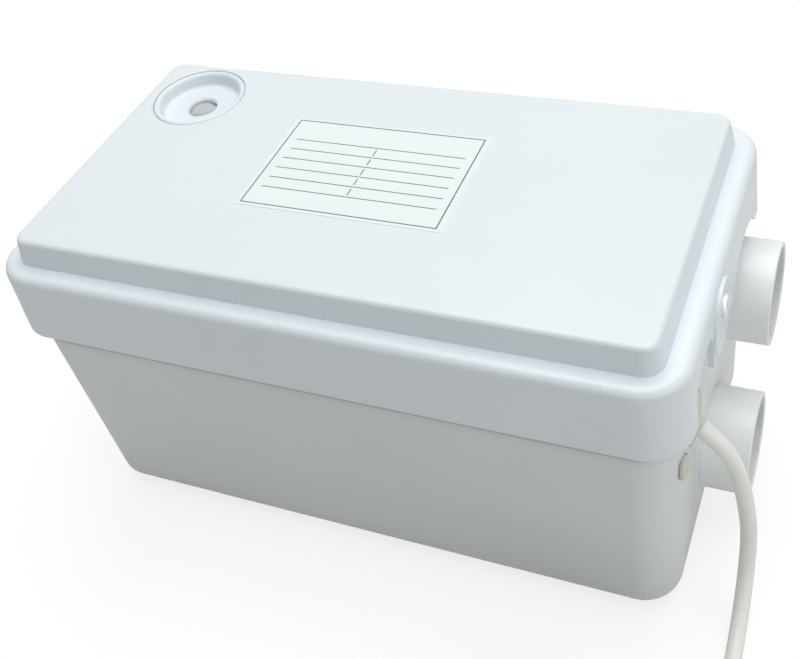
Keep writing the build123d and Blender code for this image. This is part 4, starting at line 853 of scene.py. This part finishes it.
@dataclass
class MainsLead:
    """The lead: out of the wall, down in an arc, forwards on the floor, into a tied coil, and to its plug."""

    name: str = "lead"
    diameter: float = 0.0068
    length: float = 1.504
    exit: Point = (0.14863, -0.049, 0.099511)
    slope: float = math.radians(45)
    sleeve: float = 0.0112
    drop: tuple[tuple[float, float], ...] = ((0.1629, 0.0797), (0.1659, 0.067), (0.1684, 0.0485))
    landing_radius: float = 0.038
    landing_x: float = 0.1693
    landing_y: float = -0.087
    landing_drift: float = 0.0003
    landing_steps: int = 4
    floor_run: tuple[Point, ...] = (
        (0.1707, -0.097, 0.0034), (0.1706, -0.119, 0.0035), (0.1702, -0.138, 0.0048)
    )
    run_x: float = 0.1702
    coil_front: float = -0.1608
    coil_radius: float = 0.0465
    coil_foot: float = 0.0048
    pitch: float = 0.0074
    half_turns: int = 5
    turn_steps: int = 6
    tail: float = 0.056
    tail_start: float = 0.015
    tail_end: float = 0.016
    plug_height: float = 0.0182
    smoothness: int = 6
    roundness: int = 5

    def fall(self) -> list[Point]:
        """The route's points from the wall to the coil."""
        x, y, z = self.exit
        out, down = self.sleeve * math.cos(self.slope), self.sleeve * math.sin(self.slope)
        points = [self.exit, (x + out, y, z - down)]
        points += [(out, y, height) for out, height in self.drop]
        step = math.radians(90) / self.landing_steps
        reach = outside(self.landing_radius, step / 2)
        middle = self.diameter / 2 + self.landing_radius
        for k in range(self.landing_steps):
            angle = (k + 0.5) * step
            out = self.landing_x + self.landing_drift * k
            points.append((out, self.landing_y + reach * math.cos(angle), middle - reach * math.sin(angle)))
        return [*points, *self.floor_run, (self.run_x, self.coil_front + self.diameter, self.coil_foot)]

    def coil(self) -> tuple[list[Point], Point]:
        """The coil's points: inwards below, then outwards on top.

        Returns:
            The points, and the point where the last quarter turn ends.
        """
        inwards = [self.coil_radius - k * self.pitch / 2 for k in range(self.half_turns + 1)]
        radii = inwards + inwards[-2:0:-1]
        step = math.pi / self.turn_steps
        x, height = self.run_x, self.coil_foot
        points: list[Point] = [(x, self.coil_front, height)]
        for k, radius in enumerate(radii):
            side = -1 if k % 2 == 0 else 1
            middle, reach = x + side * radius, outside(radius, step / 2)
            climb = self.pitch if k == self.half_turns else 0.0
            for j in range(self.turn_steps):
                angle = (j + 0.5) * step
                out, along = middle - side * reach * math.cos(angle), side * reach * math.sin(angle)
                points.append((out, self.coil_front + along, height + climb * angle / math.pi))
            x, height = x + 2 * side * radius, height + climb
        middle, reach = x - self.coil_radius, outside(self.coil_radius, step / 2)
        for j in range(self.turn_steps // 2):
            angle = -(j + 0.5) * step
            out, along = middle + reach * math.cos(angle), reach * math.sin(angle)
            points.append((out, self.coil_front + along, height))
        return points, (middle, self.coil_front - self.coil_radius, height)

    def route(self) -> list[Point]:
        """All the lead's points, from the wall to the plug."""
        turns, (end_x, y, height) = self.coil()
        coil_x = end_x - self.diameter
        plug_x = coil_x - self.tail
        after = [(coil_x, y, height), (coil_x - self.tail_start, y, height)]
        after += [(plug_x + self.tail_end, y, self.plug_height), (plug_x, y, self.plug_height)]
        return self.fall() + turns + after

    def build(self) -> bpy.types.Object:
        """Lays the lead as one smooth curve.

        Returns:
            The lead.
        """
        points = self.route()
        data = bpy.data.curves.new(self.name, "CURVE")
        data.dimensions, data.resolution_u, data.twist_mode = "3D", self.smoothness, "MINIMUM"
        data.bevel_depth, data.bevel_resolution, data.use_fill_caps = self.diameter / 2, self.roundness, True
        spline = data.splines.new("NURBS")
        spline.points.add(len(points) - 1)
        for point, place in zip(spline.points, points):
            point.co = (*place, 1.0)
        spline.order_u, spline.use_endpoint_u = 3, True
        data.materials.append(SHEATH.material())
        lead = bpy.data.objects.new(self.name, data)
        bpy.context.scene.collection.objects.link(lead)
        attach(lead, "housing")
        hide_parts("mains_cable", "cable_coil", "cable_tail")
        log.info("%s: %d points", self.name, len(points))
        return lead


@dataclass
class Plug:
    """The lead's plug: a round moulded body with finger grips, a grooved face and a ribbed tail."""

    name: str = "plug"
    radius: float = 0.018
    front: float = -0.0065
    back: float = 0.0295
    y: float = -0.2073
    z: float = 0.0182
    sides: int = 64
    front_edge: float = 0.0028
    back_edge: float = 0.0042
    groove: tuple[tuple[float, float], ...] = ((0.0006, 0), (0.0003, -0.0007), (0.0007, 0), (0.0003, 0.0007))
    grips: int = 5
    grip_pitch: float = 0.0036
    grip_rim: float = 0.0003
    grip_depth: float = 0.0008
    grip_reach: float = 0.72
    tail_end: float = 0.0535
    tail_radius: float = 0.0074
    tail_tip: float = 0.0045
    ribs: int = 6
    rib_step: float = 0.0007
    rib_swell: float = 0.0006
    neck: float = 0.0004
    softened: float = 0.00018
    sharp: float = math.radians(38)

    def body(self) -> bpy.types.Object:
        """Adds the body and rounds its two ends."""
        only(None)
        bpy.ops.mesh.primitive_cylinder_add(
            vertices=self.sides,
            radius=self.radius,
            depth=self.back - self.front,
            location=((self.front + self.back) / 2, self.y, self.z),
            rotation=(0, math.pi / 2, 0),
        )
        plug = place_start(self.name)
        for end, size in ((self.front, self.front_edge), (self.back, self.back_edge)):
            pick_edges(plug, lambda a, b: abs(a.x - end) < NEAR and abs(b.x - end) < NEAR)
            bpy.ops.mesh.bevel(offset=size, segments=5, profile=0.5, affect="EDGES")
        return plug

    def face(self, plug: bpy.types.Object) -> None:
        """Sinks a ring groove into the front face, round the pins."""
        pick_faces(plug, lambda f: f.normal.x < -0.99 and abs(f.center.x - self.front) < NEAR)
        inset_rings(self.groove)

    def hold(self, plug: bpy.types.Object) -> None:
        """Cuts finger grips into the body's two sides."""
        first = (self.front + self.back - self.grip_pitch * self.grips) / 2
        for k in range(2 * self.grips + 1):
            pick_faces(plug, lambda f: True)
            cut = (first + k * self.grip_pitch / 2, self.y, self.z)
            bpy.ops.mesh.bisect(plane_co=cut, plane_no=(1, 0, 0))
        for k in range(self.grips):
            middle = first + (k + 0.25) * self.grip_pitch
            for side in (-1, 1):
                pick_faces(
                    plug,
                    lambda f: abs(f.center.x - middle) < self.grip_pitch / 8
                    and side * f.normal.y > self.grip_reach,
                )
                bpy.ops.mesh.inset(thickness=self.grip_rim, depth=-self.grip_depth)

    def tail(self, plug: bpy.types.Object) -> None:
        """Draws the ribbed tail out of the back, down to the lead."""
        pick_faces(plug, lambda f: f.normal.x > 0.99 and abs(f.center.x - self.back) < NEAR)
        bpy.ops.mesh.inset(thickness=self.radius - self.back_edge - self.tail_radius, depth=0)
        steps = 2 * self.ribs
        span = (self.tail_end - self.back) / steps
        radius = self.tail_radius
        for k in range(steps):
            rib = k % 2 == 1
            wanted = self.tail_radius + (self.tail_tip - self.tail_radius) * (k + 1) / steps
            if not rib:
                bpy.ops.mesh.inset(thickness=self.rib_step, depth=0)
                radius -= self.rib_step
                wanted -= self.neck
            elif k < steps - 1:
                self.scale_ring((radius + self.rib_swell) / radius)
                radius += self.rib_swell
            bpy.ops.mesh.extrude_region_move(TRANSFORM_OT_translate={"value": (span, 0, 0)})
            self.scale_ring(wanted / radius)
            radius = wanted

    def scale_ring(self, factor: float) -> None:
        """Widens or narrows the selected end round the plug's axis."""
        bpy.ops.transform.resize(value=(1, factor, factor), center_override=(0, self.y, self.z))

    def build(self) -> bpy.types.Object:
        """Models the plug and puts it in the place of the frame's.

        Returns:
            The plug.
        """
        plug = self.body()
        self.face(plug)
        self.hold(plug)
        self.tail(plug)
        finish_with(
            plug, "BEVEL", width=self.softened, segments=2, limit_method="ANGLE", angle_limit=self.sharp
        )
        dress(LONG_STEEL, "plug_pins")
        return close_up(plug, PLUG_PLASTIC, "plug_body")


@dataclass
class VentPad:
    """The fleece pad under the vent, which swells a little into the vent's hole."""

    name: str = "vent_pad"
    centre: tuple[float, float] = (-0.1098, 0.0427)
    radius: float = 0.0163
    foot: float = 0.1346
    top: float = 0.1487
    edge: float = 0.0022
    hole: float = 0.007
    overlap: float = 0.0006
    lift: tuple[float, float] = (0.0006, 0.0004)
    swell: tuple[tuple[float, float], ...] = ((0.0007, 0.0016), (0.0012, 0.0009), (0.0018, 0.0004))
    sides: int = 64

    def build(self) -> bpy.types.Object:
        """Models the pad and puts it in the place of the frame's.

        Returns:
            The pad.
        """
        only(None)
        middle = (*self.centre, (self.foot + self.top) / 2)
        bpy.ops.mesh.primitive_cylinder_add(
            vertices=self.sides, radius=self.radius, depth=self.top - self.foot, location=middle
        )
        pad = place_start(self.name)
        pick_edges(pad, lambda a, b: abs(a.z - b.z) < NEAR)
        bpy.ops.mesh.bevel(offset=self.edge, segments=4, profile=0.5, affect="EDGES")
        pick_faces(pad, lambda f: f.normal.z > 0.99 and abs(f.center.z - self.top) < NEAR)
        half = (self.radius - self.edge - self.hole) / 2
        inset_rings(((half, self.lift[0]), (half + self.overlap, self.lift[1]), *self.swell))
        finish_with(pad, "SUBSURF", levels=1, render_levels=1)
        close_up(pad, FLEECE, "vent_filter")
        return pad


@dataclass
class Casing:
    """Tank, lid and what is fixed to them."""

    vent_pad: VentPad = field(default_factory=VentPad)

    def build(self) -> None:
        """Dresses the casing and lays its filter pad."""
        dress(TANK_WHITE, "tank")
        dress(LID_WHITE, "lid", "vent_cup")
        dress(BLACK_RUBBER, "lid_seal", "rubber_mat")
        dress(LABEL, "rating_label")
        dress(ZINC, "lid_screws")
        dress(GREY_PLASTIC, "vent_basket")
        self.vent_pad.build()


@dataclass
class Inlets:
    """The two inlet sockets with their gaskets, screws and non-return flaps."""

    sockets: tuple[str, ...] = ("upper_inlet_stub", "lower_inlet_stub")
    flaps: tuple[str, ...] = ("upper_inlet_flap", "lower_inlet_flap")

    def build(self) -> None:
        """Dresses the inlets."""
        dress(SOCKET, *self.sockets)
        dress(FLAP_RUBBER, *self.flaps)
        dress(BLACK_RUBBER, "port_gaskets")
        dress(LONG_STEEL, "port_screws", "hinge_pins")


@dataclass
class PumpSet:
    """The motor, its shaft and the pump under it."""

    plastics: tuple[str, ...] = ("volute", "suction_cover", "suction_strainer", "impeller")
    steels: tuple[str, ...] = (
        "motor_shaft", "shaft_bearings", "impeller_nut", "pump_screws", "pump_mount_screws"
    )

    def build(self) -> None:
        """Dresses the pump set."""
        dress(PAINT, "motor_casing", "motor_end_cover")
        dress(STACK, "stator_core", "rotor_core")
        dress(COPPER, "stator_windings")
        dress(ALUMINIUM, "seal_plate")
        dress(BLACK_PLASTIC, *self.plastics)
        dress(STEEL, *self.steels)
        dress(BLACK_RUBBER, "pump_mounts", "shaft_seal")


@dataclass
class Outlet:
    """The way out: rubber elbow, non-return valve and spigot."""

    def build(self) -> None:
        """Dresses the outlet."""
        dress(BLACK_RUBBER, "discharge_elbow")
        dress(BLACK_PLASTIC, "check_valve_body", "check_valve_cap")
        dress(FLAP_RUBBER, "check_valve_flap")
        dress(STEEL, "hose_clamps")
        dress(SOCKET, "discharge_spigot")


@dataclass
class LevelSwitch:
    """The air bell and the switch that it works, with the motor's capacitor and terminals."""

    plastics: tuple[str, ...] = (
        "air_bell", "diaphragm_cover", "plunger", "switch_lever", "switch_button", "terminal_block"
    )

    def build(self) -> None:
        """Dresses the switch gear."""
        dress(GREY_PLASTIC, *self.plastics)
        dress(BLACK_RUBBER, "diaphragm")
        dress(SPRING, "plunger_spring")
        dress(SWITCH_PLASTIC, "microswitch")
        dress(CAN, "capacitor")
        dress(STEEL, "capacitor_clip")


@dataclass
class Supply:
    """The mains lead with its entry in the wall, its tie and its plug."""

    lead: MainsLead = field(default_factory=MainsLead)
    plug: Plug = field(default_factory=Plug)

    def build(self) -> None:
        curve = self.lead.build()
        plug = self.plug.build()
        dress(PALE_RUBBER, "cable_grommet", "blanking_plug", "strain_relief")
        dress(SHEATH, "inner_cable")
        dress(TIE_PLASTIC, "cable_tie")


def main() -> None:
    """Builds the studio and every sub-assembly."""
    logging.basicConfig(level=logging.INFO, format="%(name)s %(message)s")
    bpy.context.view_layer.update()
    for part in (Studio(), Supply(), Casing(), Inlets(), PumpSet(), Outlet(), LevelSwitch()):
        part.build()
        log.info("built %s", type(part).__name__)


if __name__ == "__main__":
    main()
